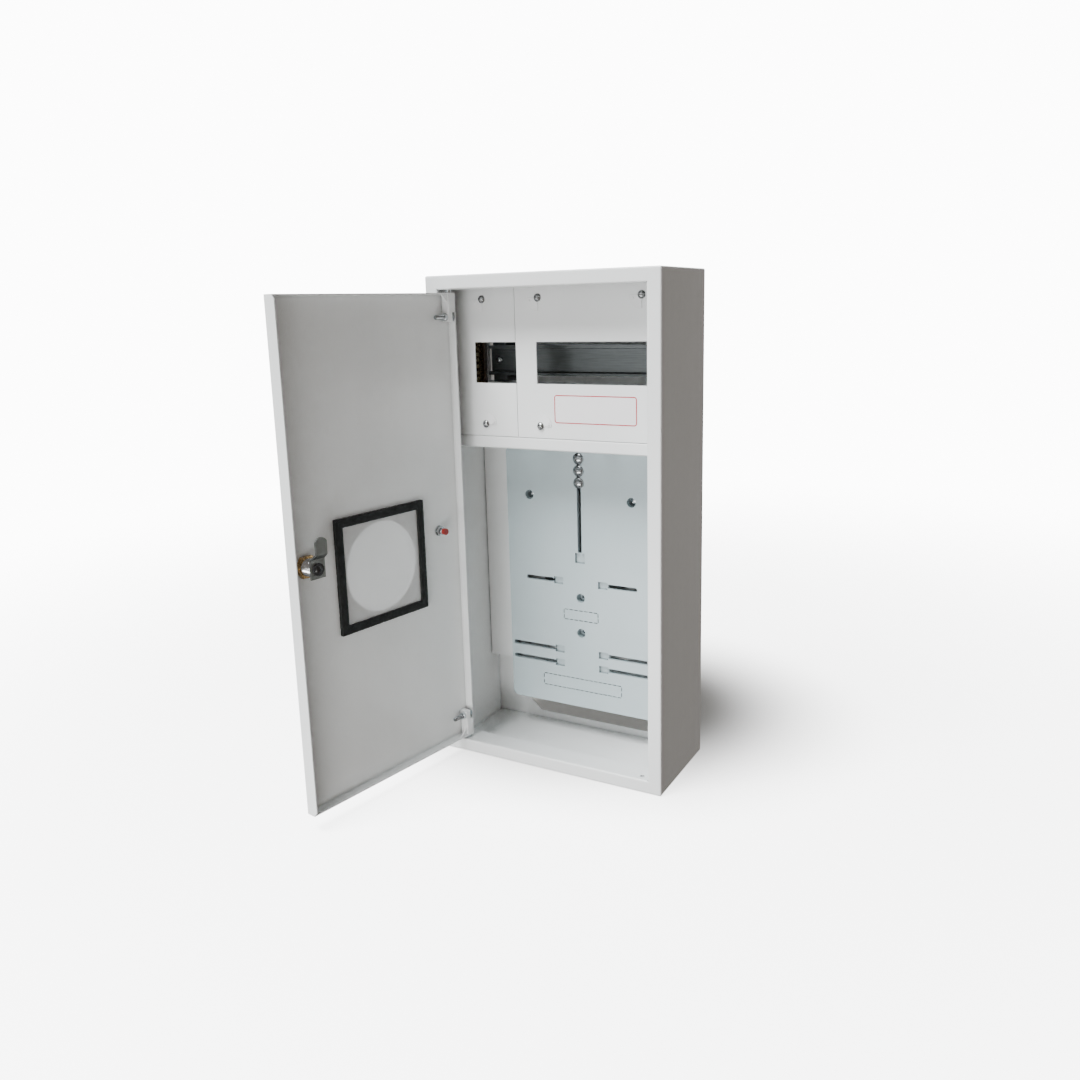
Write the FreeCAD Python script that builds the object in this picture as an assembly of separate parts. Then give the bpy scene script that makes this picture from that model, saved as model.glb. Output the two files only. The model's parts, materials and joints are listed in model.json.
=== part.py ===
import FreeCAD, Part
import math
import os

# Wall-mounted electric meter box of folded sheet steel, 285 x 570 x 126 mm.
# The lower space holds a meter on a slotted board, the upper one holds modules on a
# 35 mm rail behind two cut-out covers. A tray door with a round window hangs on the left.
# Everything is laid out from the housing's front left bottom corner: x to the right,
# y to the back, z up. The finished pieces are then moved so that the origin is the
# centre of the four wall-fixing holes, on the outer back face.

V = FreeCAD.Vector

# Housing
WIDTH = 285.0
DEPTH = 126.0
METER_SPACE_HEIGHT = 373.0
MODULE_SPACE_HEIGHT = 197.0
SHEET = 1.2
BEND = 0.8
STILE = 16.0
RAIL = 15.5
RETURN_DEPTH = 27.5
RELIEF_RADIUS = 0.8

# Cutting: how far a cutter runs past a face, and how round a slot's ends are
PAST = 1.0
ROUND_END = 0.98

# Back panel
WALL_HOLE_RADIUS = 4.0
WALL_HOLE_INSET_X = 35.0
WALL_HOLE_INSET_Z = 40.0
REAR_OPENING_INSET = 44.5
REAR_OPENING_HEIGHT = 60.0
REAR_OPENING_LOW = 10.5
REAR_OPENING_CHAMFER = 19.5
SIDE_OPENING_WIDTH = 20.0
SIDE_OPENING_HEIGHT = 48.5
SIDE_OPENING_LEFT = 4.8
SIDE_OPENING_CHAMFER = 6.0
SIDE_OPENING_BELOW_RAIL = 2.6

# Shelf between the meter space and the module space
COVER_FRONT = 40.0
SHELF_FACE_HEIGHT = 14.1
SHELF_LIP_HEIGHT = 25.0
SHELF_OPENING_WIDTH = 62.0
SHELF_OPENING_DEPTH = 34.0
SHELF_OPENING_RADIUS = 6.0
SHELF_OPENING_COUNT = 3
SHELF_OPENING_PITCH = 80.0
SHELF_OPENING_TO_BACK = 42.0

# Rail behind the top edge of the covers
COVER_RAIL_HEIGHT = 33.8
COVER_RAIL_ROOF = 15.0

# Module covers
COVER_EDGE_GAP = 0.8
COVER_TOP_GAP = 1.8
COVER_LOW_GAP = 0.4
COVER_SPLIT_GAP = 0.6
COVER_LEFT_WIDTH = 90.1
MODULE_CUT_HEIGHT = 46.4
LEFT_CUT_RIM = 35.9
RIGHT_CUT_NEAR_RIM = 26.3
RIGHT_CUT_FAR_RIM = 20.0

# Cover screws and their sealing tabs; the recess goes for every cross-recess head
SCREW_LEFT_INSET = 47.5
SCREW_RIGHT_INSET = 29.8
SCREW_TOP_END_INSET = 36.0
SCREW_LOW_END_INSET = 17.0
SCREW_EDGE_LOW = 13.5
SCREW_EDGE_TOP = 23.8
COVER_SCREW_RADIUS = 2.0
COVER_SCREW_HEAD = 4.5
COVER_SCREW_DOME = 2.6
COVER_SCREW_TAIL = 6.0
COVER_HOLE_PLAY = 0.2
RECESS_SHARE = 0.55
RECESS_WIDTH = 0.9
RECESS_DEPTH = 1.3
TAB_RADIUS = 14.0
TAB_THICKNESS = 0.8
TAB_PEG_RADIUS = 1.5
TAB_PEG_OFFSET = 11.0
TAB_PEG_HEIGHT = 1.8
TAB_PEG_ANGLE = 18.0

# 35 mm module rail
DIN_TO_BACK = 40.0
DIN_HEIGHT = 35.0
DIN_DEPTH = 7.5
DIN_SHEET = 1.0
DIN_BEND = 0.5
DIN_CHANNEL = 27.0
DIN_INSET = 27.0
DIN_BELOW_MIDDLE = 5.35
SUPPORT_SHEET = 1.5
SUPPORT_FACE = 18.0
SUPPORT_FOOT = 12.0
SUPPORT_HEIGHT = 52.0
RAIL_SCREW_RADIUS = 2.5
RAIL_SCREW_INSET = 11.0
RAIL_SCREW_HEAD = 4.2
RAIL_SCREW_DOME = 2.6
RAIL_SCREW_TAIL = 5.0

# Terminal bar beside the rail
TERMINAL_TO_BACK = 42.0
TERMINAL_LEFT = 9.0
TERMINAL_WIDTH = 7.0
TERMINAL_DEPTH = 6.5
TERMINAL_HEIGHT = 68.0
TERMINAL_PITCH = 7.4
TERMINAL_BASE_WALL = 1.8
TERMINAL_BASE_BACK = 1.5
TERMINAL_BASE_RISE = 1.0
TERMINAL_SCREW_RADIUS = 2.3
TERMINAL_SCREW_PROUD = 0.9
TERMINAL_SCREW_REACH = 2.2
TERMINAL_SLOT_WIDTH = 0.8
TERMINAL_SLOT_DEPTH = 1.1
TERMINAL_WIRE_RADIUS = 2.0
TERMINAL_BRACKET_END = 20.0
TERMINAL_BRACKET_FOOT = 16.0

# Meter board
BOARD_SIDE_GAP = 42.5
BOARD_LOW = 42.0
BOARD_TOP_GAP = 5.0
BOARD_TO_BACK = 34.0
BOARD_DEPTH = 14.0
BOARD_PLATE = 4.5
BOARD_WALL = 2.5
BOARD_CORNER = 8.0
BOARD_EDGE = 1.2
BOARD_RIB = 2.0
BOARD_RIB_DEPTH = 5.5
BOARD_BOSS_RADIUS = 8.0
BOARD_HOLE_RADIUS = 2.6
BOARD_SINK_RADIUS = 5.75
BOARD_SINK_DEPTH = 9.0
BOARD_TOP_HOLE_INSET = 32.0
BOARD_TOP_HOLE_DOWN = 59.0
BOARD_MID_HOLES_UP = (142.6, 97.6)
SLOT_WIDTH = 5.4
UPRIGHT_SLOT_UP = 199.0
UPRIGHT_SLOT_TOP_GAP = 4.0
UPRIGHT_POCKET_WIDTH = 13.0
CROSS_SLOT_START = 36.2
UPPER_SLOT_RIM = 25.0
UPPER_SLOT_UP = 162.0
LOWER_SLOT_RIM = 3.5
LOWER_SLOTS_UP = (73.0, 55.0)
POCKET_LENGTH = 12.4
POCKET_HEIGHT = 9.0
POCKET_DEPTH = 3.2
POCKET_LAP = 0.2
KNOCKOUT_SMALL_WIDTH = 46.5
KNOCKOUT_SMALL_HEIGHT = 12.5
KNOCKOUT_SMALL_UP = 120.0
KNOCKOUT_LARGE_WIDTH = 107.5
KNOCKOUT_LARGE_HEIGHT = 15.0
KNOCKOUT_LARGE_UP = 30.0
KNOCKOUT_DASH = 5.0
KNOCKOUT_PITCH = 6.2
KNOCKOUT_GROOVE = 1.0
KNOCKOUT_DEPTH = 2.8
BRACKET_UP = 45.5
BRACKET_PAST_HOLE = 11.5
BRACKET_FOOT = 14.0
BOARD_SCREW_HEAD = 4.6
BOARD_SCREW_DOME = 2.2
BOARD_SCREW_TAIL = 5.0

# Meter fixing bolts parked at the top of the upright slot
METER_BOLT_RADIUS = 2.4
METER_BOLT_HEAD = 7.0
METER_BOLT_DOME = 3.2
METER_BOLT_PLAY = 0.15
METER_BOLT_END_GAP = 2.0
METER_BOLT_TOP_GAP = 7.3
METER_BOLT_PITCH = 14.6
METER_BOLT_SLOT_WIDTH = 1.6
METER_BOLT_SLOT_DEPTH = 1.3
METER_BOLT_SLOT_TILT = 15.0
METER_NUT_SIDE = 8.0
METER_NUT_EDGE = 0.6
METER_NUT_THICKNESS = 2.7
METER_NUT_PLAY = 0.3

# Door
DOOR_GAP = 3.5
DOOR_SET = 0.5
DOOR_OPEN_ANGLE = 99.5
DOOR_LOCK_FLANGE = 16.5
DOOR_END_FLANGE = 12.5
DOOR_HINGE_FLANGE = 11.0
DOOR_TIP_CHAMFER = 7.0
DOOR_SLIT = 0.6
PIVOT_INSET = 6.5
PIVOT_DEPTH = 8.0

# Window
WINDOW_BELOW_MIDDLE = 24.5
WINDOW_RADIUS = 50.0
PANE_SIDE = 118.0
PANE_CORNER = 2.0
PANE_THICKNESS = 2.0
GASKET_OUTER = 126.0
GASKET_INNER = 107.0
GASKET_OUTER_CORNER = 3.0
GASKET_INNER_CORNER = 1.0
GASKET_THICKNESS = 4.0

# Hinges
PIN_RADIUS = 2.5
PIN_PLAY = 0.05
PIN_COLLAR_RADIUS = 4.0
PIN_COLLAR_PLAY = 0.2
PIN_HEAD_RADIUS = 4.5
PIN_HEAD_HEIGHT = 2.0
PIN_ENTRY = 15.0
PIN_BORE_FLOOR = 2.0
FLANGE_HOLE_PLAY = 0.3
SLEEVE_WIDTH = 11.0
SLEEVE_DEPTH = 11.0
SLEEVE_LENGTH = 20.0
SLEEVE_EDGE = 1.5
GUSSET_LEG = 20.3
GUSSET_THICKNESS = 2.0
EYE_START = 5.6
EYE_WIDTH = 7.4
EYE_LENGTH = 10.4
EYE_EDGE = 1.0
HINGE_BOLT_RADIUS = 2.5
HINGE_BOLT_END = 30.0
HINGE_BOLT_RISE = 26.5
HINGE_BOLT_CHAMFER = 0.6
HINGE_HEX = 8.0
HINGE_HEAD_HEIGHT = 3.4
HINGE_NUT_HEIGHT = 4.0

# Lock
LOCK_INSET = 22.0
LOCK_BELOW_MIDDLE = 2.0
LOCK_RADIUS = 9.0
LOCK_HOLE_PLAY = 0.15
LOCK_END = 19.8
LOCK_HEAD_RADIUS = 11.5
LOCK_HEAD_HEIGHT = 2.6
LOCK_HEAD_EDGE = 1.2
LOCK_NUT_HEX = 22.0
LOCK_NUT_HEIGHT = 5.0
PLUG_RADIUS = 6.0
PLUG_PLAY = 0.08
PLUG_SET_BACK = 0.4
PLUG_SQUARE = 7.0
KEY_SLOT_WIDTH = 2.0
KEY_SLOT_HEIGHT = 8.0
KEY_SLOT_DEPTH = 12.0
CAM_FRONT = 20.0
CAM_THICKNESS = 1.6
CAM_BEND = 0.6
CAM_OFFSET = 7.9
CAM_TAIL = 9.5
CAM_JOG_START = 11.5
CAM_JOG_RISE = 5.5
CAM_TIP = 34.0
CAM_WIDTH = 18.0
CAM_TIP_WIDTH = 14.0
CAM_TIP_SAGITTA = 4.0
CAM_WASHER_RADIUS = 6.5
CAM_WASHER_THICKNESS = 1.5
CAM_SCREW_RADIUS = 2.0
CAM_SCREW_HEAD = 4.2
CAM_SCREW_DOME = 1.8
CAM_SCREW_TAIL = 9.0

# Earth stud on the door
STUD_TO_GASKET = 26.0
STUD_BELOW_MIDDLE = 3.0
STUD_RADIUS = 3.0
STUD_LENGTH = 12.0
STUD_CHAMFER = 0.7
STUD_WASHER_RADIUS = 6.0
STUD_WASHER_THICKNESS = 1.5
STUD_NUT_HEX = 10.0
STUD_NUT_HEIGHT = 4.0
STUD_CAP_RADIUS = 3.8
STUD_CAP_LENGTH = 5.0
STUD_CAP_END = 1.0
STUD_CAP_EDGE = 0.8

# Derived places
HEIGHT = METER_SPACE_HEIGHT + MODULE_SPACE_HEIGHT
SHELF_LOW = METER_SPACE_HEIGHT
MIDDLE_X = WIDTH / 2.0
MIDDLE_Z = HEIGHT / 2.0
BACK_FRONT = DEPTH - SHEET
OUTER_BEND = BEND + SHEET
DOOR_LEFT = STILE + DOOR_GAP
DOOR_RIGHT = WIDTH - STILE - DOOR_GAP
DOOR_LOW = RAIL + DOOR_GAP
DOOR_TOP = HEIGHT - RAIL - DOOR_GAP
DOOR_SKIN = DOOR_SET + SHEET
PIVOT_X = DOOR_LEFT + PIVOT_INSET
PIVOT_Y = DOOR_SET + PIVOT_DEPTH
COVER_LOW = SHELF_LOW + SHELF_FACE_HEIGHT + COVER_LOW_GAP
COVER_TOP = HEIGHT - SHEET - COVER_TOP_GAP
COVER_BACK = COVER_FRONT + SHEET
COVER_LEFT = SHEET + COVER_EDGE_GAP
COVER_RIGHT = WIDTH - SHEET - COVER_EDGE_GAP
COVER_SPLIT = COVER_LEFT + COVER_LEFT_WIDTH
COVER_SPLIT_END = COVER_SPLIT + COVER_SPLIT_GAP
DIN_MIDDLE_Z = (COVER_LOW + COVER_TOP) / 2.0 - DIN_BELOW_MIDDLE
DIN_FRONT = DEPTH - DIN_TO_BACK
DIN_BACK = DIN_FRONT + DIN_DEPTH
DIN_LEFT = DIN_INSET
DIN_RIGHT = WIDTH - DIN_INSET
RAIL_SCREW_X = DIN_LEFT + RAIL_SCREW_INSET
TERMINAL_FRONT = DEPTH - TERMINAL_TO_BACK
BOARD_HALF_WIDTH = MIDDLE_X - BOARD_SIDE_GAP
BOARD_TOP = SHELF_LOW - BOARD_TOP_GAP
BOARD_FRONT = DEPTH - BOARD_TO_BACK
BOARD_BACK = BOARD_FRONT + BOARD_DEPTH
BOARD_PLATE_BACK = BOARD_FRONT + BOARD_PLATE
UPRIGHT_SLOT_LOW = BOARD_LOW + UPRIGHT_SLOT_UP
UPRIGHT_SLOT_TOP = BOARD_TOP - UPRIGHT_SLOT_TOP_GAP
METER_BOLT_TOP_Z = UPRIGHT_SLOT_TOP - METER_BOLT_TOP_GAP
METER_BOLT_LOW_Z = METER_BOLT_TOP_Z - 2 * METER_BOLT_PITCH
WINDOW_X = (DOOR_LEFT + DOOR_RIGHT) / 2.0
WINDOW_Z = MIDDLE_Z - WINDOW_BELOW_MIDDLE
LOCK_X = DOOR_RIGHT - LOCK_INSET
LOCK_Z = MIDDLE_Z - LOCK_BELOW_MIDDLE
STUD_X = WINDOW_X - GASKET_OUTER / 2.0 - STUD_TO_GASKET
STUD_Z = MIDDLE_Z - STUD_BELOW_MIDDLE
FORWARD = V(0, -1, 0)


# Shape helpers
def box(x0, x1, y0, y1, z0, z1):
    return Part.makeBox(x1 - x0, y1 - y0, z1 - z0, V(x0, y0, z0))


def rod(radius, start, end):
    path = end - start
    return Part.makeCylinder(radius, path.Length, start, path)


def lift_point(axis, a, b, level):
    if axis == "x":
        return V(level, a, b)
    if axis == "y":
        return V(a, level, b)
    return V(a, b, level)


def rounded_wire(corners, axis, level):
    """Closed wire through corners (a, b, radius) in the plane across the axis."""
    flat = [(V(a, b, 0), radius) for a, b, radius in corners]
    ends = []
    for index, (here, radius) in enumerate(flat):
        if radius <= 0:
            ends.append((here, None, here))
            continue
        back = (flat[index - 1][0] - here).normalize()
        ahead = (flat[(index + 1) % len(flat)][0] - here).normalize()
        half = back.getAngle(ahead) / 2.0
        bisector = (back + ahead).normalize()
        setback = radius / math.tan(half)
        middle = here + bisector * (radius / math.sin(half) - radius)
        ends.append((here + back * setback, middle, here + ahead * setback))
    edges = []
    for index, (start, middle, end) in enumerate(ends):
        if middle is not None:
            points = [lift_point(axis, p.x, p.y, level) for p in (start, middle, end)]
            edges.append(Part.Arc(*points).toShape())
        following = ends[(index + 1) % len(ends)][0]
        if (following - end).Length > 1e-6:
            first = lift_point(axis, end.x, end.y, level)
            second = lift_point(axis, following.x, following.y, level)
            edges.append(Part.LineSegment(first, second).toShape())
    return Part.Wire(edges)


def prism(corners, axis, low, high):
    """Solid between two levels along an axis, with an outline of rounded corners."""
    sweep = lift_point(axis, 0, 0, high - low)
    return Part.Face(rounded_wire(corners, axis, low)).extrude(sweep)


def rectangle(a0, a1, b0, b1, radius=0.0):
    return [(a0, b0, radius), (a1, b0, radius), (a1, b1, radius), (a0, b1, radius)]


def folded(path, thickness, inner_radius):
    """Corners of a folded strip: the path is one face, the sheet lies to its left."""
    points = [V(a, b, 0) for a, b in path]
    near = []
    far = []
    for index, here in enumerate(points):
        before = (here - points[index - 1]).normalize() if index > 0 else None
        after = (points[index + 1] - here).normalize() if index < len(points) - 1 else None
        if before is None or after is None:
            along = after or before
            offset = V(-along.y, along.x, 0) * thickness
            near_radius = 0.0
            far_radius = 0.0
        else:
            left_before = V(-before.y, before.x, 0)
            left_after = V(-after.y, after.x, 0)
            offset = (left_before + left_after) * (thickness / (1.0 + left_before.dot(left_after)))
            turns_left = before.cross(after).z > 0
            near_radius = inner_radius + thickness if turns_left else inner_radius
            far_radius = inner_radius if turns_left else inner_radius + thickness
        near.append((here.x, here.y, near_radius))
        far.append((here.x + offset.x, here.y + offset.y, far_radius))
    return near + far[::-1]


def dome(radius, height, centre, out):
    """Low domed head on a flat seat, rising along the direction out."""
    sphere_radius = (radius * radius + height * height) / (2.0 * height)
    ball = Part.makeSphere(sphere_radius, centre + out * (height - sphere_radius))
    keep = Part.makeCylinder(radius, height * 1.5, centre, out)
    return ball.common(keep)


def hexagon_prism(across, start, end):
    """Hexagonal bar from start to end, measured across its flats."""
    path = end - start
    corner = across / math.sqrt(3.0)
    points = [V(corner * math.cos(math.radians(60 * k)), corner * math.sin(math.radians(60 * k)), 0)
              for k in range(7)]
    bar = Part.Face(Part.makePolygon(points)).extrude(V(0, 0, path.Length))
    bar.Placement = FreeCAD.Placement(start, FreeCAD.Rotation(V(0, 0, 1), path))
    return bar


def hex_nut(across, bore, start, end):
    """Hexagon nut with its corners chamfered by a cone on both faces."""
    path = end - start
    height = path.Length
    body = hexagon_prism(across, start, end)
    corner = across / math.sqrt(3.0)
    rise = (corner - across / 2.0) * math.tan(math.radians(30))
    profile = [V(0, 0, 0), V(across / 2.0, 0, 0), V(corner, 0, rise),
               V(corner, 0, height - rise), V(across / 2.0, 0, height), V(0, 0, height),
               V(0, 0, 0)]
    turned = Part.Face(Part.makePolygon(profile)).revolve(V(0, 0, 0), V(0, 0, 1), 360)
    turned.Placement = FreeCAD.Placement(start, FreeCAD.Rotation(V(0, 0, 1), path))
    body = body.common(turned)
    return body.cut(rod(bore, start, end)) if bore > 0 else body


def cross_recess(head_radius, crown, out):
    """Two crossed slots that are cut into a screw head facing along out."""
    reach = head_radius * RECESS_SHARE
    seat = FreeCAD.Placement(crown, FreeCAD.Rotation(V(0, 0, 1), out))
    cutters = []
    for turn in (45, 135):
        slot = Part.makeBox(2 * reach, RECESS_WIDTH, RECESS_DEPTH * 2,
                            V(-reach, -RECESS_WIDTH / 2.0, -RECESS_DEPTH))
        slot.rotate(V(0, 0, 0), V(0, 0, 1), turn)
        slot.Placement = seat.multiply(slot.Placement)
        cutters.append(slot)
    return cutters[0].fuse(cutters[1])


def domed_screw(head_radius, dome_height, shank_radius, seat, end, out):
    """Cross-recess screw from the face that its head rests on to the end of its shank."""
    head = dome(head_radius, dome_height, seat, out)
    recess = cross_recess(head_radius, seat + out * dome_height, out)
    return head.fuse(rod(shank_radius, seat, end)).cut(recess)


def mirrored_x(shape):
    return shape.mirror(V(MIDDLE_X, 0, 0), V(1, 0, 0))


def mirrored_z(shape):
    return shape.mirror(V(0, 0, MIDDLE_Z), V(0, 0, 1))


def swung_open(shape):
    """Turns a piece of the closed door about the hinge line to where the door stands."""
    opened = shape.copy()
    opened.rotate(V(PIVOT_X, PIVOT_Y, 0), V(0, 0, 1), -DOOR_OPEN_ANGLE)
    return opened


def save(node, *solids):
    """Writes one node, with its solids moved to the frame of the wall fixing."""
    moved = []
    for solid in solids:
        piece = solid.copy()
        piece.translate(V(-MIDDLE_X, -DEPTH, -MIDDLE_Z))
        moved.append(piece)
    shape = moved[0] if len(moved) == 1 else Part.makeCompound(moved)
    shape.exportStep("parts/%s.step" % node)


# Housing and back
def edges_at(shape, test):
    return [edge for edge in shape.Edges if test(edge.BoundBox)]


def flat_at_y(level):
    return lambda b: abs(b.YMin - level) < 1e-4 and abs(b.YMax - level) < 1e-4


def housing_shell():
    """Wrap-round shell: four walls, the front frame and the return round its opening."""
    outer = box(0, WIDTH, 0, DEPTH, 0, HEIGHT)
    outer = outer.makeFillet(OUTER_BEND, edges_at(outer, lambda b: b.YMin < 1e-4))
    inner = box(SHEET, WIDTH - SHEET, SHEET, DEPTH * 2, SHEET, HEIGHT - SHEET)
    inner = inner.makeFillet(BEND, edges_at(inner, lambda b: b.YMin < SHEET + 1e-4))
    shell = outer.cut(inner)
    tube = box(STILE - SHEET, WIDTH - STILE + SHEET, 0, RETURN_DEPTH,
               RAIL - SHEET, HEIGHT - RAIL + SHEET)
    hole = box(STILE, WIDTH - STILE, -PAST, RETURN_DEPTH + PAST, RAIL, HEIGHT - RAIL)
    shell = shell.fuse(tube).cut(hole).removeSplitter()
    rim = edges_at(shell, lambda b: flat_at_y(0)(b) and b.XMin > STILE - PAST
                   and b.XMax < WIDTH - STILE + PAST and b.ZMin > RAIL - PAST
                   and b.ZMax < HEIGHT - RAIL + PAST)
    shell = shell.makeFillet(OUTER_BEND, rim)
    for x in (STILE, WIDTH - STILE):
        for z in (RAIL, HEIGHT - RAIL):
            shell = shell.cut(rod(RELIEF_RADIUS, V(x, -PAST, z), V(x, OUTER_BEND + PAST, z)))
    for x in (PIVOT_X, WIDTH - PIVOT_X):
        for z in (RAIL - SHEET, HEIGHT - RAIL):
            shell = shell.cut(rod(PIN_RADIUS, V(x, PIVOT_Y, z), V(x, PIVOT_Y, z + SHEET)))
    return shell


def wall_hole_centres():
    return [(x, z) for z in (WALL_HOLE_INSET_Z, HEIGHT - WALL_HOLE_INSET_Z)
            for x in (WALL_HOLE_INSET_X, WIDTH - WALL_HOLE_INSET_X)]


def back_panel():
    """Flat sheet set between the walls, with wall holes and two cable openings."""
    outline = rectangle(SHEET, WIDTH - SHEET, SHEET, HEIGHT - SHEET, BEND)
    panel = prism(outline, "y", BACK_FRONT, DEPTH)
    left = REAR_OPENING_INSET
    right = WIDTH - REAR_OPENING_INSET
    low = REAR_OPENING_LOW
    top = REAR_OPENING_LOW + REAR_OPENING_HEIGHT
    cut = REAR_OPENING_CHAMFER
    octagon = [(left + cut, low, 0), (right - cut, low, 0), (right, low + cut, 0),
               (right, top - cut, 0), (right - cut, top, 0), (left + cut, top, 0),
               (left, top - cut, 0), (left, low + cut, 0)]
    panel = panel.cut(prism(octagon, "y", BACK_FRONT - PAST, DEPTH + PAST))
    side_right = SIDE_OPENING_LEFT + SIDE_OPENING_WIDTH
    side_low = DIN_MIDDLE_Z - SIDE_OPENING_BELOW_RAIL - SIDE_OPENING_HEIGHT / 2.0
    side_top = side_low + SIDE_OPENING_HEIGHT
    nick = SIDE_OPENING_CHAMFER
    hexagon = [(SIDE_OPENING_LEFT, side_low, 0), (side_right - nick, side_low, 0),
               (side_right, side_low + nick, 0), (side_right, side_top - nick, 0),
               (side_right - nick, side_top, 0), (SIDE_OPENING_LEFT, side_top, 0)]
    panel = panel.cut(prism(hexagon, "y", BACK_FRONT - PAST, DEPTH + PAST))
    for x, z in wall_hole_centres():
        hole = rod(WALL_HOLE_RADIUS, V(x, BACK_FRONT - PAST, z), V(x, DEPTH + PAST, z))
        panel = panel.cut(hole)
    return panel


# Shelf, cover rail and covers
def cover_screw_places():
    low = COVER_LOW + SCREW_EDGE_LOW
    top = COVER_TOP - SCREW_EDGE_TOP
    left = COVER_LEFT + SCREW_LEFT_INSET
    right = COVER_SPLIT_END + SCREW_RIGHT_INSET
    return [(left, low), (right, low), (COVER_RIGHT - SCREW_LOW_END_INSET, low),
            (left, top), (right, top), (COVER_RIGHT - SCREW_TOP_END_INSET, top)]


def cut_screw_holes(shape, radius):
    for x, z in cover_screw_places():
        end = COVER_BACK + SHEET + PAST
        shape = shape.cut(rod(radius, V(x, COVER_FRONT - PAST, z), V(x, end, z)))
    return shape


def partition_shelf():
    """One folded sheet: shelf, front face, and a lip set back behind the covers."""
    jog_top = COVER_LOW - COVER_LOW_GAP
    path = [(COVER_BACK, jog_top + SHELF_LIP_HEIGHT), (COVER_BACK, jog_top),
            (COVER_FRONT, jog_top - SHEET), (COVER_FRONT, SHELF_LOW), (BACK_FRONT, SHELF_LOW)]
    shelf = prism(folded(path, SHEET, BEND), "x", SHEET, WIDTH - SHEET)
    first = MIDDLE_X - SHELF_OPENING_PITCH * (SHELF_OPENING_COUNT - 1) / 2.0
    half = SHELF_OPENING_WIDTH / 2.0
    y0 = DEPTH - SHELF_OPENING_TO_BACK - SHELF_OPENING_DEPTH / 2.0
    y1 = y0 + SHELF_OPENING_DEPTH
    for index in range(SHELF_OPENING_COUNT):
        x = first + index * SHELF_OPENING_PITCH
        outline = rectangle(x - half, x + half, y0, y1, SHELF_OPENING_RADIUS)
        shelf = shelf.cut(prism(outline, "z", SHELF_LOW - PAST, SHELF_LOW + SHEET + PAST))
    return cut_screw_holes(shelf, COVER_SCREW_RADIUS)


def cover_rail():
    """Angle under the roof that the covers' top edges are screwed to."""
    roof = HEIGHT - SHEET
    path = [(COVER_BACK + COVER_RAIL_ROOF, roof), (COVER_BACK, roof),
            (COVER_BACK, roof - COVER_RAIL_HEIGHT)]
    rail = prism(folded(path, SHEET, BEND), "x", SHEET + BEND, WIDTH - SHEET - BEND)
    return cut_screw_holes(rail, COVER_SCREW_RADIUS)


def module_cut_heights():
    low = DIN_MIDDLE_Z - MODULE_CUT_HEIGHT / 2.0
    return low, low + MODULE_CUT_HEIGHT


def cover_left():
    low, top = module_cut_heights()
    plate = box(COVER_LEFT, COVER_SPLIT, COVER_FRONT, COVER_BACK, COVER_LOW, COVER_TOP)
    plate = plate.cut(box(COVER_LEFT + LEFT_CUT_RIM, COVER_SPLIT + PAST,
                          COVER_FRONT - PAST, COVER_BACK + PAST, low, top))
    return cut_screw_holes(plate, COVER_SCREW_RADIUS + COVER_HOLE_PLAY)


def cover_right():
    low, top = module_cut_heights()
    plate = box(COVER_SPLIT_END, COVER_RIGHT, COVER_FRONT, COVER_BACK, COVER_LOW, COVER_TOP)
    plate = plate.cut(box(COVER_SPLIT_END + RIGHT_CUT_NEAR_RIM, COVER_RIGHT - RIGHT_CUT_FAR_RIM,
                          COVER_FRONT - PAST, COVER_BACK + PAST, low, top))
    return cut_screw_holes(plate, COVER_SCREW_RADIUS + COVER_HOLE_PLAY)


def cover_screws():
    """Domed cross-recess screws; each clamps a tab and the cover to the sheet behind."""
    return [domed_screw(COVER_SCREW_HEAD, COVER_SCREW_DOME, COVER_SCREW_RADIUS,
                        V(x, COVER_FRONT - TAB_THICKNESS, z),
                        V(x, COVER_BACK + COVER_SCREW_TAIL, z), FORWARD)
            for x, z in cover_screw_places()]


def seal_tab(x, z, first_angle):
    """Quarter disc under a cover screw, with a sealing peg at its corner."""
    disc = Part.makeCylinder(TAB_RADIUS, TAB_THICKNESS, V(0, 0, 0), V(0, 0, 1), 90)
    disc.rotate(V(0, 0, 0), V(0, 0, 1), first_angle)
    disc = disc.fuse(Part.makeCylinder(COVER_SCREW_HEAD, TAB_THICKNESS))
    angle = math.radians(first_angle + TAB_PEG_ANGLE)
    foot = V(TAB_PEG_OFFSET * math.cos(angle), TAB_PEG_OFFSET * math.sin(angle), 0)
    peg = Part.makeCylinder(TAB_PEG_RADIUS, TAB_PEG_HEIGHT, foot)
    tab = disc.fuse(peg).cut(Part.makeCylinder(COVER_SCREW_RADIUS, TAB_THICKNESS))
    tab.Placement = FreeCAD.Placement(V(x, COVER_FRONT, z), FreeCAD.Rotation(V(1, 0, 0), 90))
    return tab


def seal_tabs():
    middle = (COVER_LOW + COVER_TOP) / 2.0
    return [seal_tab(x, z, 0 if z < middle else 180) for x, z in cover_screw_places()]


# Module rail and terminal bar
def rail_screw_places():
    return RAIL_SCREW_X, DIN_LEFT + DIN_RIGHT - RAIL_SCREW_X


def din_rail():
    """35 mm top-hat rail with a screw hole near each end."""
    half = DIN_HEIGHT / 2.0
    channel = DIN_CHANNEL / 2.0
    web = DIN_BACK - DIN_SHEET
    path = [(DIN_FRONT, DIN_MIDDLE_Z + half), (DIN_FRONT, DIN_MIDDLE_Z + channel),
            (web, DIN_MIDDLE_Z + channel), (web, DIN_MIDDLE_Z - channel),
            (DIN_FRONT, DIN_MIDDLE_Z - channel), (DIN_FRONT, DIN_MIDDLE_Z - half)]
    rail = prism(folded(path, DIN_SHEET, DIN_BEND), "x", DIN_LEFT, DIN_RIGHT)
    holes = [rod(RAIL_SCREW_RADIUS, V(x, web - PAST, DIN_MIDDLE_Z),
                 V(x, DIN_BACK + PAST, DIN_MIDDLE_Z)) for x in rail_screw_places()]
    return rail.cut(holes)


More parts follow.
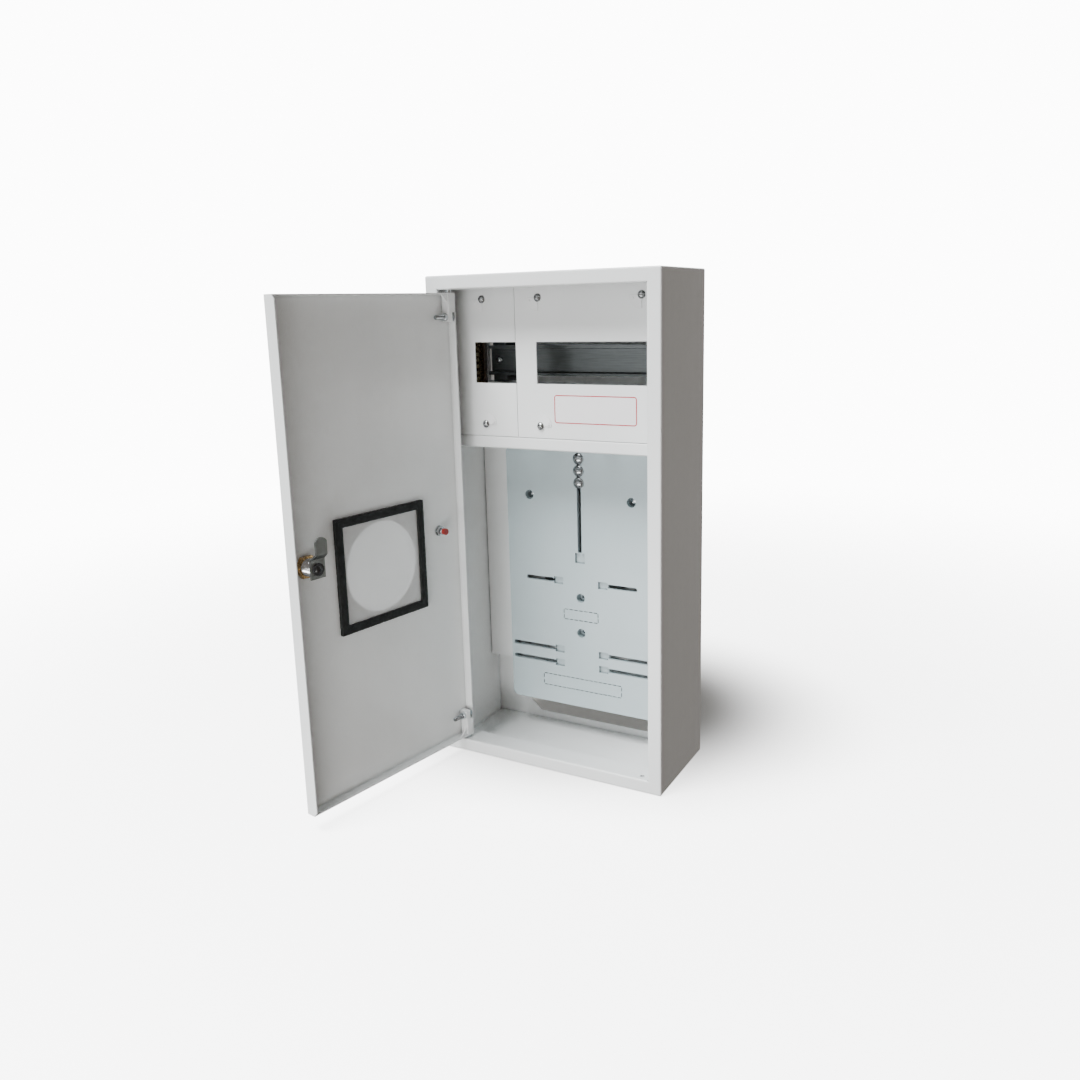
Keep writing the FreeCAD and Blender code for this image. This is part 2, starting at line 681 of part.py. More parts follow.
def rail_support_left():
    """Z-shaped bracket from the back panel to the web of the module rail."""
    x0 = RAIL_SCREW_X - SUPPORT_FACE / 2.0
    x1 = RAIL_SCREW_X + SUPPORT_FACE / 2.0
    path = [(x0, DIN_BACK), (x1, DIN_BACK), (x1, BACK_FRONT - SUPPORT_SHEET),
            (x1 + SUPPORT_FOOT, BACK_FRONT - SUPPORT_SHEET)]
    half = SUPPORT_HEIGHT / 2.0
    outline = folded(path, SUPPORT_SHEET, BEND)
    support = prism(outline, "z", DIN_MIDDLE_Z - half, DIN_MIDDLE_Z + half)
    end = DIN_BACK + SUPPORT_SHEET + PAST
    return support.cut(rod(RAIL_SCREW_RADIUS, V(RAIL_SCREW_X, DIN_BACK - PAST, DIN_MIDDLE_Z),
                           V(RAIL_SCREW_X, end, DIN_MIDDLE_Z)))


def rail_support_right():
    return rail_support_left().mirror(V((DIN_LEFT + DIN_RIGHT) / 2.0, 0, 0), V(1, 0, 0))


def rail_screws():
    return [domed_screw(RAIL_SCREW_HEAD, RAIL_SCREW_DOME, RAIL_SCREW_RADIUS,
                        V(x, DIN_BACK - DIN_SHEET, DIN_MIDDLE_Z),
                        V(x, DIN_BACK + RAIL_SCREW_TAIL, DIN_MIDDLE_Z), FORWARD)
            for x in rail_screw_places()]


def terminal_values():
    back = TERMINAL_FRONT + TERMINAL_DEPTH
    low = DIN_MIDDLE_Z - TERMINAL_HEIGHT / 2.0
    return back, low, low + TERMINAL_HEIGHT


def terminal_screw_heights():
    count = int((TERMINAL_HEIGHT - TERMINAL_PITCH) / TERMINAL_PITCH) + 1
    first = DIN_MIDDLE_Z - (count - 1) * TERMINAL_PITCH / 2.0
    return [first + index * TERMINAL_PITCH for index in range(count)]


def terminal_bracket():
    """Angle on the left wall that carries the terminal base."""
    back, low, top = terminal_values()
    face = back + TERMINAL_BASE_BACK
    path = [(SHEET, face + TERMINAL_BRACKET_FOOT), (SHEET, face), (TERMINAL_BRACKET_END, face)]
    return prism(folded(path, SHEET, BEND), "z", low, top)


def terminal_base():
    """Moulded channel that insulates the bar from its bracket."""
    back, low, top = terminal_values()
    x0 = TERMINAL_LEFT - TERMINAL_BASE_WALL
    x1 = TERMINAL_LEFT + TERMINAL_WIDTH + TERMINAL_BASE_WALL
    base = prism(rectangle(x0, x1, low, top, TERMINAL_BASE_WALL / 2.0), "y",
                 back - TERMINAL_BASE_RISE, back + TERMINAL_BASE_BACK)
    return base.cut(box(TERMINAL_LEFT, TERMINAL_LEFT + TERMINAL_WIDTH, TERMINAL_FRONT, back,
                        low + TERMINAL_BASE_WALL, top - TERMINAL_BASE_WALL))


def terminal_bar():
    """Brass bar with a wire hole under each clamping screw."""
    back, low, top = terminal_values()
    right = TERMINAL_LEFT + TERMINAL_WIDTH
    bar = box(TERMINAL_LEFT, right, TERMINAL_FRONT, back,
              low + TERMINAL_BASE_WALL, top - TERMINAL_BASE_WALL)
    x = TERMINAL_LEFT + TERMINAL_WIDTH / 2.0
    y = TERMINAL_FRONT + TERMINAL_DEPTH / 2.0
    cuts = []
    for z in terminal_screw_heights():
        cuts.append(rod(TERMINAL_WIRE_RADIUS, V(TERMINAL_LEFT - PAST, y, z), V(right + PAST, y, z)))
        cuts.append(rod(TERMINAL_SCREW_RADIUS, V(x, TERMINAL_FRONT - PAST, z), V(x, y, z)))
    return bar.cut(cuts)


def terminal_screws():
    x = TERMINAL_LEFT + TERMINAL_WIDTH / 2.0
    front = TERMINAL_FRONT - TERMINAL_SCREW_PROUD
    tail = TERMINAL_FRONT + TERMINAL_SCREW_REACH
    half = TERMINAL_SLOT_WIDTH / 2.0
    reach = TERMINAL_SCREW_RADIUS + PAST
    screws = []
    for z in terminal_screw_heights():
        screw = rod(TERMINAL_SCREW_RADIUS, V(x, front, z), V(x, tail, z))
        slot = box(x - half, x + half, front - PAST, front + TERMINAL_SLOT_DEPTH, z - reach, z + reach)
        screws.append(screw.cut(slot))
    return screws


# Meter board and what holds it
def board_bracket_left():
    """Long angle on the side wall; the board's rim and top bosses rest on its face."""
    x, z = board_holes()[0]
    path = [(SHEET, BOARD_BACK + BRACKET_FOOT), (SHEET, BOARD_BACK),
            (x + BRACKET_PAST_HOLE, BOARD_BACK)]
    bracket = prism(folded(path, SHEET, BEND), "z", BOARD_LOW + BRACKET_UP, SHELF_LOW)
    return bracket.cut(rod(BOARD_HOLE_RADIUS, V(x, BOARD_BACK - PAST, z),
                           V(x, BOARD_BACK + SHEET + PAST, z)))


def cross_slots():
    """Height, side and reach of each level slot in the board."""
    upper = [(UPPER_SLOT_UP, UPPER_SLOT_RIM)]
    lower = [(up, LOWER_SLOT_RIM) for up in LOWER_SLOTS_UP]
    return [(BOARD_LOW + up, side, BOARD_HALF_WIDTH - rim) for up, rim in upper + lower
            for side in (-1, 1)]


def span(side, near, far):
    """Low and high x of a stretch that is measured sideways from the middle."""
    a = MIDDLE_X + side * near
    b = MIDDLE_X + side * far
    return min(a, b), max(a, b)


def board_holes():
    """Two screwed holes near the top corners, then the two bare ones on the middle line."""
    reach = BOARD_HALF_WIDTH - BOARD_TOP_HOLE_INSET
    holes = [(MIDDLE_X + side * reach, BOARD_TOP - BOARD_TOP_HOLE_DOWN) for side in (-1, 1)]
    return holes + [(MIDDLE_X, BOARD_LOW + up) for up in BOARD_MID_HOLES_UP]


def knockout_dashes(width, height, up):
    """Short grooves along the outline of a panel that can be broken out."""
    centre = BOARD_LOW + up
    front = BOARD_FRONT - PAST
    floor = BOARD_FRONT + KNOCKOUT_DEPTH
    half = KNOCKOUT_GROOVE / 2.0
    dashes = []
    across = max(int(width / KNOCKOUT_PITCH), 1)
    for index in range(across):
        x = MIDDLE_X + (index - (across - 1) / 2.0) * width / across
        for z in (centre - height / 2.0, centre + height / 2.0):
            dashes.append(box(x - KNOCKOUT_DASH / 2.0, x + KNOCKOUT_DASH / 2.0, front, floor,
                              z - half, z + half))
    upward = max(int(height / KNOCKOUT_PITCH), 1)
    for index in range(upward):
        z = centre + (index - (upward - 1) / 2.0) * height / upward
        for x in (MIDDLE_X - width / 2.0, MIDDLE_X + width / 2.0):
            dashes.append(box(x - half, x + half, front, floor,
                              z - KNOCKOUT_DASH / 2.0, z + KNOCKOUT_DASH / 2.0))
    return dashes


def board_ribs():
    """Ribs behind the plate: a track for the square nuts on both sides of each slot."""
    near = METER_NUT_SIDE / 2.0 + METER_NUT_PLAY
    far = near + BOARD_RIB
    y0 = BOARD_PLATE_BACK
    y1 = BOARD_PLATE_BACK + BOARD_RIB_DEPTH
    ribs = []
    for side in (-1, 1):
        x0, x1 = span(side, near, far)
        ribs.append(box(x0, x1, y0, y1, UPRIGHT_SLOT_LOW, BOARD_TOP - BOARD_WALL))
    for height, side, end in cross_slots():
        x0, x1 = span(side, CROSS_SLOT_START, min(end + far, BOARD_HALF_WIDTH - BOARD_WALL))
        for edge in (-1, 1):
            z0 = height + edge * near
            z1 = height + edge * far
            ribs.append(box(x0, x1, y0, y1, min(z0, z1), max(z0, z1)))
    return ribs


def board_slot_cuts():
    """Round-ended slots through the plate, each with a shallow pocket at its start."""
    front = BOARD_FRONT - PAST
    through = BOARD_PLATE_BACK + BOARD_RIB_DEPTH + PAST
    pocket_floor = BOARD_FRONT + POCKET_DEPTH
    half = SLOT_WIDTH / 2.0
    upright = rectangle(MIDDLE_X - half, MIDDLE_X + half, UPRIGHT_SLOT_LOW, UPRIGHT_SLOT_TOP,
                        half * ROUND_END)
    pocket_half = UPRIGHT_POCKET_WIDTH / 2.0
    cuts = [prism(upright, "y", front, through),
            box(MIDDLE_X - pocket_half, MIDDLE_X + pocket_half, front, pocket_floor,
                UPRIGHT_SLOT_LOW - POCKET_LENGTH, UPRIGHT_SLOT_LOW + POCKET_LAP)]
    pocket_half = POCKET_HEIGHT / 2.0
    for height, side, end in cross_slots():
        x0, x1 = span(side, CROSS_SLOT_START, end)
        level = rectangle(x0, x1, height - half, height + half, half * ROUND_END)
        cuts.append(prism(level, "y", front, through))
        x0, x1 = span(side, CROSS_SLOT_START - POCKET_LENGTH, CROSS_SLOT_START + POCKET_LAP)
        cuts.append(box(x0, x1, front, pocket_floor, height - pocket_half, height + pocket_half))
    return cuts


def board_hole_cuts():
    cuts = []
    for x, z in board_holes():
        start = V(x, BOARD_FRONT - PAST, z)
        cuts.append(rod(BOARD_HOLE_RADIUS, start, V(x, BOARD_BACK + PAST, z)))
        cuts.append(rod(BOARD_SINK_RADIUS, start, V(x, BOARD_FRONT + BOARD_SINK_DEPTH, z)))
    return cuts


def meter_board():
    """Moulded tray with slots, pockets, deep-set holes, knock-outs and nut tracks."""
    left = MIDDLE_X - BOARD_HALF_WIDTH
    right = MIDDLE_X + BOARD_HALF_WIDTH
    wall = BOARD_WALL
    board = prism(rectangle(left, right, BOARD_LOW, BOARD_TOP, BOARD_CORNER), "y",
                  BOARD_FRONT, BOARD_BACK)
    board = board.makeFillet(BOARD_EDGE, edges_at(board, flat_at_y(BOARD_FRONT)))
    hollow = rectangle(left + wall, right - wall, BOARD_LOW + wall, BOARD_TOP - wall,
                       BOARD_CORNER - wall)
    board = board.cut(prism(hollow, "y", BOARD_PLATE_BACK, BOARD_BACK + PAST))
    bosses = [rod(BOARD_BOSS_RADIUS, V(x, BOARD_PLATE_BACK, z), V(x, BOARD_BACK, z))
              for x, z in board_holes()]
    board = board.multiFuse(board_ribs() + bosses)
    small = knockout_dashes(KNOCKOUT_SMALL_WIDTH, KNOCKOUT_SMALL_HEIGHT, KNOCKOUT_SMALL_UP)
    large = knockout_dashes(KNOCKOUT_LARGE_WIDTH, KNOCKOUT_LARGE_HEIGHT, KNOCKOUT_LARGE_UP)
    return board.cut(board_hole_cuts() + board_slot_cuts() + small + large)


def board_screws():
    return [domed_screw(BOARD_SCREW_HEAD, BOARD_SCREW_DOME, BOARD_HOLE_RADIUS,
                        V(x, BOARD_FRONT + BOARD_SINK_DEPTH, z),
                        V(x, BOARD_BACK + BOARD_SCREW_TAIL, z), FORWARD)
            for x, z in board_holes()[:2]]


def meter_bolt(height):
    """Mushroom-head slotted bolt that slides in the upright slot."""
    seat = V(MIDDLE_X, BOARD_FRONT - METER_BOLT_PLAY, height)
    head = dome(METER_BOLT_HEAD, METER_BOLT_DOME, seat, FORWARD)
    reach = METER_BOLT_HEAD + PAST
    slot = Part.makeBox(2 * reach, METER_BOLT_DOME, METER_BOLT_SLOT_WIDTH,
                        V(-reach, -METER_BOLT_DOME, -METER_BOLT_SLOT_WIDTH / 2.0))
    slot.rotate(V(0, 0, 0), V(0, 1, 0), -METER_BOLT_SLOT_TILT)
    slot.translate(seat + FORWARD * (METER_BOLT_DOME - METER_BOLT_SLOT_DEPTH))
    end = V(MIDDLE_X, BOARD_BACK - METER_BOLT_END_GAP, height)
    return head.cut(slot).fuse(rod(METER_BOLT_RADIUS, seat, end))


def meter_nut(height):
    half = METER_NUT_SIDE / 2.0
    y0 = BOARD_PLATE_BACK + METER_BOLT_PLAY
    y1 = y0 + METER_NUT_THICKNESS
    nut = prism(rectangle(MIDDLE_X - half, MIDDLE_X + half, height - half, height + half,
                          METER_NUT_EDGE), "y", y0, y1)
    return nut.cut(rod(METER_BOLT_RADIUS, V(MIDDLE_X, y0 - PAST, height),
                       V(MIDDLE_X, y1 + PAST, height)))


def upper_bolt_heights():
    return [METER_BOLT_TOP_Z - METER_BOLT_PITCH, METER_BOLT_TOP_Z]


# Door, modelled closed and then swung open
def door_hollow():
    """Space inside the tray, rounded where the sheet bends into its flanges."""
    far = DOOR_SET + DOOR_LOCK_FLANGE + PAST
    hollow = box(DOOR_LEFT + SHEET, DOOR_RIGHT - SHEET, DOOR_SKIN, far,
                 DOOR_LOW + SHEET, DOOR_TOP - SHEET)
    return hollow.makeFillet(BEND, edges_at(hollow, flat_at_y(DOOR_SKIN)))


def door_panel():
    """Tray door: skin, deep lock-side flange with slanted ends, shallow other flanges."""
    far = DOOR_SET + DOOR_LOCK_FLANGE
    tray = box(DOOR_LEFT, DOOR_RIGHT, DOOR_SET, far, DOOR_LOW, DOOR_TOP)
    tray = tray.makeFillet(OUTER_BEND, edges_at(tray, flat_at_y(DOOR_SET)))
    tray = tray.cut(door_hollow())
    inside_lock = DOOR_RIGHT - SHEET
    end_rim = DOOR_SET + DOOR_END_FLANGE
    above = DOOR_TOP + PAST
    below = DOOR_LOW - PAST
    trims = [box(DOOR_LEFT - PAST, inside_lock, end_rim, far + PAST, below, above),
             box(DOOR_LEFT - PAST, DOOR_LEFT + SHEET, DOOR_SET + DOOR_HINGE_FLANGE, far + PAST,
                 below, above)]
    slant = [(end_rim, DOOR_TOP, 0), (far + PAST, DOOR_TOP - DOOR_TIP_CHAMFER, 0),
             (far + PAST, above, 0), (end_rim, above, 0)]
    bend_end = DOOR_SET + OUTER_BEND
    corner_cuts = [
        prism(slant, "x", inside_lock - PAST, DOOR_RIGHT + PAST),
        box(inside_lock - DOOR_SLIT, inside_lock, bend_end, far, DOOR_TOP - SHEET, above),
        box(DOOR_LEFT + SHEET, DOOR_LEFT + SHEET + DOOR_SLIT, bend_end, far,
            DOOR_TOP - SHEET, above),
        rod(PIN_COLLAR_RADIUS + FLANGE_HOLE_PLAY, V(PIVOT_X, PIVOT_Y, DOOR_TOP - SHEET - PAST),
            V(PIVOT_X, PIVOT_Y, above))]
    holes = [rod(radius, V(x, DOOR_SET - PAST, z), V(x, DOOR_SKIN + PAST, z))
             for x, z, radius in ((WINDOW_X, WINDOW_Z, WINDOW_RADIUS),
                                  (LOCK_X, LOCK_Z, LOCK_RADIUS + LOCK_HOLE_PLAY))]
    return tray.cut(trims + corner_cuts + [mirrored_z(cut) for cut in corner_cuts] + holes)


def window_square(side, radius, y0, y1):
    half = side / 2.0
    outline = rectangle(WINDOW_X - half, WINDOW_X + half, WINDOW_Z - half, WINDOW_Z + half, radius)
    return prism(outline, "y", y0, y1)


def window_pane():
    return window_square(PANE_SIDE, PANE_CORNER, DOOR_SKIN, DOOR_SKIN + PANE_THICKNESS)


def window_gasket():
    """Square rubber frame with a step that holds the edge of the pane on the skin."""
    rim = DOOR_SKIN + GASKET_THICKNESS
    frame = window_square(GASKET_OUTER, GASKET_OUTER_CORNER, DOOR_SKIN, rim)
    opening = window_square(GASKET_INNER, GASKET_INNER_CORNER, DOOR_SKIN - PAST, rim + PAST)
    return frame.cut([window_pane(), opening])


def hinge_bracket_top():
    """Bracket in the door's corner: gusset on the rims, pivot sleeve, and a bolt eye."""
    x0 = DOOR_LEFT + SHEET
    top = DOOR_TOP - SHEET
    x1 = x0 + GUSSET_LEG
    rim = DOOR_SET + DOOR_HINGE_FLANGE
    gusset = [(x0, top, 0), (x0, top - GUSSET_LEG, 0), (x1, top, 0)]
    bracket = prism(gusset, "y", rim - GUSSET_THICKNESS, rim)
    depth = DOOR_SKIN + SLEEVE_DEPTH
    sleeve = prism(rectangle(x0, x0 + SLEEVE_WIDTH, DOOR_SKIN, depth, SLEEVE_EDGE), "z",
                   top - SLEEVE_LENGTH, top)
    eye_x = DOOR_LEFT + EYE_START
    low = top - SLEEVE_LENGTH - EYE_LENGTH
    eye = prism(rectangle(eye_x, eye_x + EYE_WIDTH, DOOR_SKIN, depth, EYE_EDGE), "z",
                low, top - SLEEVE_LENGTH)
    bracket = bracket.fuse(sleeve).fuse(eye)
    bore = rod(PIN_RADIUS + PIN_PLAY, V(PIVOT_X, PIVOT_Y, top - SLEEVE_LENGTH + PIN_BORE_FLOOR),
               V(PIVOT_X, PIVOT_Y, top + PAST))
    z = hinge_bolt_height()
    hole = rod(HINGE_BOLT_RADIUS, V(eye_x - PAST, PIVOT_Y, z),
               V(eye_x + EYE_WIDTH + PAST, PIVOT_Y, z))
    return bracket.cut([bore, hole]).common(door_hollow()).removeSplitter()


def hinge_bolt_height():
    return DOOR_TOP - HINGE_BOLT_RISE


def hinge_bolts():
    z = hinge_bolt_height()
    eye_x = DOOR_LEFT + EYE_START
    head = hex_nut(HINGE_HEX, 0, V(eye_x - HINGE_HEAD_HEIGHT, PIVOT_Y, z), V(eye_x, PIVOT_Y, z))
    end = V(DOOR_LEFT + HINGE_BOLT_END, PIVOT_Y, z)
    shank = rod(HINGE_BOLT_RADIUS, V(eye_x, PIVOT_Y, z), end)
    tip = edges_at(shank, lambda b: abs(b.XMin - end.x) < 1e-4)
    bolt = head.fuse(shank.makeChamfer(HINGE_BOLT_CHAMFER, tip))
    return [bolt, mirrored_z(bolt)]


def hinge_nuts():
    z = hinge_bolt_height()
    x0 = DOOR_LEFT + EYE_START + EYE_WIDTH
    nut = hex_nut(HINGE_HEX, HINGE_BOLT_RADIUS, V(x0, PIVOT_Y, z),
                  V(x0 + HINGE_NUT_HEIGHT, PIVOT_Y, z))
    return [nut, mirrored_z(nut)]


def hinge_pins():
    """Pins riveted in the returns of the housing, with a collar that spaces the door."""
    ledge = HEIGHT - RAIL
    low = DOOR_TOP - SHEET - PIN_ENTRY
    pin = rod(PIN_RADIUS, V(PIVOT_X, PIVOT_Y, low), V(PIVOT_X, PIVOT_Y, ledge + SHEET))
    head = rod(PIN_HEAD_RADIUS, V(PIVOT_X, PIVOT_Y, ledge + SHEET),
               V(PIVOT_X, PIVOT_Y, ledge + SHEET + PIN_HEAD_HEIGHT))
    collar = rod(PIN_COLLAR_RADIUS, V(PIVOT_X, PIVOT_Y, DOOR_TOP - SHEET + PIN_COLLAR_PLAY),
                 V(PIVOT_X, PIVOT_Y, ledge))
    pin = pin.fuse(head).fuse(collar)
    return [pin, mirrored_z(pin)]


# Lock and earth stud
def lock_point(depth):
    return V(LOCK_X, DOOR_SET + depth, LOCK_Z)


def lock_body():
    """Barrel through the skin, with a rounded head outside and a bore for the plug."""
    barrel = rod(LOCK_RADIUS, lock_point(0), lock_point(LOCK_END))
    head = rod(LOCK_HEAD_RADIUS, lock_point(-LOCK_HEAD_HEIGHT), lock_point(0))
    rim = edges_at(head, flat_at_y(DOOR_SET - LOCK_HEAD_HEIGHT))
    head = head.makeFillet(LOCK_HEAD_EDGE, rim)
    bore = rod(PLUG_RADIUS + PLUG_PLAY, lock_point(-LOCK_HEAD_HEIGHT - PAST),
               lock_point(LOCK_END + PAST))
    return barrel.fuse(head).cut(bore)


def lock_nut():
    end = lock_point(SHEET + LOCK_NUT_HEIGHT)
    return hex_nut(LOCK_NUT_HEX, LOCK_RADIUS, lock_point(SHEET), end)


def lock_plug():
    """Turning plug with a key slot in front and a square end that drives the cam."""
    plug = rod(PLUG_RADIUS, lock_point(PLUG_SET_BACK - LOCK_HEAD_HEIGHT), lock_point(CAM_FRONT))
    half = PLUG_SQUARE / 2.0
    square = box(LOCK_X - half, LOCK_X + half, DOOR_SET + CAM_FRONT,
                 DOOR_SET + CAM_FRONT + CAM_THICKNESS, LOCK_Z - half, LOCK_Z + half)
    key = box(LOCK_X - KEY_SLOT_WIDTH / 2.0, LOCK_X + KEY_SLOT_WIDTH / 2.0,
              DOOR_SET - LOCK_HEAD_HEIGHT - PAST, DOOR_SET - LOCK_HEAD_HEIGHT + KEY_SLOT_DEPTH,
              LOCK_Z - KEY_SLOT_HEIGHT / 2.0, LOCK_Z + KEY_SLOT_HEIGHT / 2.0)
    thread = rod(CAM_SCREW_RADIUS, lock_point(CAM_FRONT + CAM_THICKNESS - CAM_SCREW_TAIL),
                 lock_point(CAM_FRONT + CAM_THICKNESS + PAST))
    return plug.fuse(square).cut([key, thread])


def cam_outline():
    """Face of the flattened cam: wide at the plug, then narrower to an arched tip."""
    wide = CAM_WIDTH / 2.0
    narrow = CAM_TIP_WIDTH / 2.0
    shoulder = CAM_JOG_START + CAM_JOG_RISE
    arch_foot = CAM_TIP - CAM_TIP_SAGITTA
    half = [V(wide, 0, -CAM_TAIL), V(wide, 0, CAM_JOG_START), V(narrow, 0, shoulder),
            V(narrow, 0, arch_foot)]
    other = [V(-p.x, 0, p.z) for p in half]
    sides = Part.makePolygon(other[::-1] + half).Edges
    arch = Part.Arc(half[-1], V(0, 0, CAM_TIP), other[-1]).toShape()
    return Part.Face(Part.Wire(sides + [arch]))


def lock_cam():
    """Joggled cam: folded strip trimmed to its outline, with a square hole for the plug."""
    front = DOOR_SET + CAM_FRONT
    set_back = front + CAM_OFFSET
    path = [(set_back, LOCK_Z + CAM_TIP), (set_back, LOCK_Z + CAM_JOG_START + CAM_JOG_RISE),
            (front, LOCK_Z + CAM_JOG_START), (front, LOCK_Z - CAM_TAIL)]
    wide = CAM_WIDTH / 2.0
    strip = prism(folded(path, CAM_THICKNESS, CAM_BEND), "x", LOCK_X - wide, LOCK_X + wide)
    blank = cam_outline().extrude(V(0, CAM_OFFSET + CAM_THICKNESS + 2 * PAST, 0))
    blank.translate(V(LOCK_X, front - PAST, LOCK_Z))
    half = PLUG_SQUARE / 2.0
    square = box(LOCK_X - half, LOCK_X + half, front - PAST, front + CAM_THICKNESS + PAST,
                 LOCK_Z - half, LOCK_Z + half)
    return strip.common(blank).cut(square)


def cam_washer():
    y = CAM_FRONT + CAM_THICKNESS
    washer = rod(CAM_WASHER_RADIUS, lock_point(y), lock_point(y + CAM_WASHER_THICKNESS))
    return washer.cut(rod(CAM_SCREW_RADIUS, lock_point(y - PAST),
                          lock_point(y + CAM_WASHER_THICKNESS + PAST)))


def cam_screw():
    y = CAM_FRONT + CAM_THICKNESS
    return domed_screw(CAM_SCREW_HEAD, CAM_SCREW_DOME, CAM_SCREW_RADIUS,
                       lock_point(y + CAM_WASHER_THICKNESS), lock_point(y - CAM_SCREW_TAIL),
                       V(0, 1, 0))


def stud_point(depth):
    return V(STUD_X, DOOR_SET + depth, STUD_Z)


def door_stud():
    stud = rod(STUD_RADIUS, stud_point(SHEET), stud_point(SHEET + STUD_LENGTH))
    tip = edges_at(stud, flat_at_y(DOOR_SKIN + STUD_LENGTH))
    return stud.makeChamfer(STUD_CHAMFER, tip)


def stud_washer():
    end = SHEET + STUD_WASHER_THICKNESS
    washer = rod(STUD_WASHER_RADIUS, stud_point(SHEET), stud_point(end))
    return washer.cut(rod(STUD_RADIUS, stud_point(0), stud_point(end + PAST)))


def stud_nut():
    start = SHEET + STUD_WASHER_THICKNESS
    end = stud_point(start + STUD_NUT_HEIGHT)
    return hex_nut(STUD_NUT_HEX, STUD_RADIUS, stud_point(start), end)


def stud_cap():
    """Soft red sleeve pushed over the end of the stud."""
    end = SHEET + STUD_LENGTH + STUD_CAP_END
    cap = rod(STUD_CAP_RADIUS, stud_point(end - STUD_CAP_LENGTH), stud_point(end))
    cap = cap.makeFillet(STUD_CAP_EDGE, edges_at(cap, flat_at_y(DOOR_SET + end)))
    return cap.cut(door_stud())


ROOT_NODES = {
    "housing_shell": housing_shell,
    "back_panel": back_panel,
    "partition_shelf": partition_shelf,
    "cover_rail": cover_rail,
    "cover_left": cover_left,
    "cover_right": cover_right,
    "cover_screws": cover_screws,
    "seal_tabs": seal_tabs,
    "din_rail": din_rail,
    "rail_support_left": rail_support_left,
    "rail_support_right": rail_support_right,
    "rail_screws": rail_screws,
    "terminal_bracket": terminal_bracket,
    "terminal_base": terminal_base,
    "terminal_bar": terminal_bar,
    "terminal_screws": terminal_screws,
    "board_bracket_left": board_bracket_left,
    "board_bracket_right": lambda: mirrored_x(board_bracket_left()),
    "meter_board": meter_board,
    "board_screws": board_screws,
    "meter_bolts_upper": lambda: [meter_bolt(z) for z in upper_bolt_heights()],
    "meter_nuts_upper": lambda: [meter_nut(z) for z in upper_bolt_heights()],
    "meter_bolt_low": lambda: meter_bolt(METER_BOLT_LOW_Z),
    "meter_nut_low": lambda: meter_nut(METER_BOLT_LOW_Z),
    "hinge_pins": hinge_pins,
}

DOOR_NODES = {
    "door_panel": door_panel,
    "window_pane": window_pane,
    "window_gasket": window_gasket,
    "hinge_bracket_top": hinge_bracket_top,
    "hinge_bracket_bottom": lambda: mirrored_z(hinge_bracket_top()),
    "hinge_bolts": hinge_bolts,
    "hinge_nuts": hinge_nuts,
    "lock_body": lock_body,
    "lock_nut": lock_nut,
    "lock_plug": lock_plug,
    "lock_cam": lock_cam,
    "cam_washer": cam_washer,
    "cam_screw": cam_screw,
    "door_stud": door_stud,
    "stud_washer": stud_washer,
    "stud_nut": stud_nut,
    "stud_cap": stud_cap,
}


def solids_of(built):
    return built if isinstance(built, list) else [built]


os.makedirs("parts", exist_ok=True)
for name, build in ROOT_NODES.items():
    save(name, *solids_of(build()))
for name, build in DOOR_NODES.items():
    save(name, *[swung_open(solid) for solid in solids_of(build())])
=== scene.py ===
import json
import math

import bmesh
import bpy
from mathutils import Matrix, Vector, noise as field


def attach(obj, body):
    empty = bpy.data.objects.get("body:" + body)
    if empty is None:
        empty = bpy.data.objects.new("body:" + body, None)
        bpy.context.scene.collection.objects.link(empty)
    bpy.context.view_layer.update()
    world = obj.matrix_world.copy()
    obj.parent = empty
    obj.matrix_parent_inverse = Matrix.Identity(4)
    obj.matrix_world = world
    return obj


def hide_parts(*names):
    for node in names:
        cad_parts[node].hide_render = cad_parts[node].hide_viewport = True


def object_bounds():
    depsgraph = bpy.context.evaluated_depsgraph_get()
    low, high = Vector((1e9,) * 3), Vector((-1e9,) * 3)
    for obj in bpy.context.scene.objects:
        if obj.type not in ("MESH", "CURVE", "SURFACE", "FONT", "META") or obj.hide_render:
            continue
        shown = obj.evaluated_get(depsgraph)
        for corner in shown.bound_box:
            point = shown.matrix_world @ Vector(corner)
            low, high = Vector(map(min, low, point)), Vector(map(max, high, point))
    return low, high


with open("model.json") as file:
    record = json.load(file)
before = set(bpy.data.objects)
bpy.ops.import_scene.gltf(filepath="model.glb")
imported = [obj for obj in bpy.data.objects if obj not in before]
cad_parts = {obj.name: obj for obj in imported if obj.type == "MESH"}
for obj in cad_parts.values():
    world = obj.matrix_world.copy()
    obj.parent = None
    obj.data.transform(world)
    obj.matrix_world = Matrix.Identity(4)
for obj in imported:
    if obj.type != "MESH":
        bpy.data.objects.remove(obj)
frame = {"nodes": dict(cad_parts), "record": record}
CAD_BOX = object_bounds()
NODES = frame["nodes"]
WHITE = (1.0, 1.0, 1.0)

# Camera: where the photograph was taken from, in metres and degrees
CAMERA_PLACE = (0.50338, -1.01553, 0.24772)
CAMERA_AZIMUTH = 29.074
CAMERA_ELEVATION = 12.203
CAMERA_ROLL = -1.445
CAMERA_LENS = 31.463
CAMERA_SENSOR = 36.0
CAMERA_SHIFT = (-0.00747, -0.02659)

# Floor and backdrop, in metres: a flat disc that runs into a bowl
FLOOR_GAP = 0.0002
FLOOR_MIDDLE = 0.6
FLOOR_FLAT = 5.0
BOWL_RISE = 3.0
BOWL_STEPS = 16
BOWL_SIDES = 64

# Its paper, from near the part to far away; shine is how much of its brightness is its own
FLOOR_NEAR = 0.45
FLOOR_FAR = 1.9
FLOOR_SHINE_NEAR = 5.0
FLOOR_SHINE_FAR = 12.0
FLOOR_PAPER = 0.85
FLOOR_ROUGHNESS = 0.95

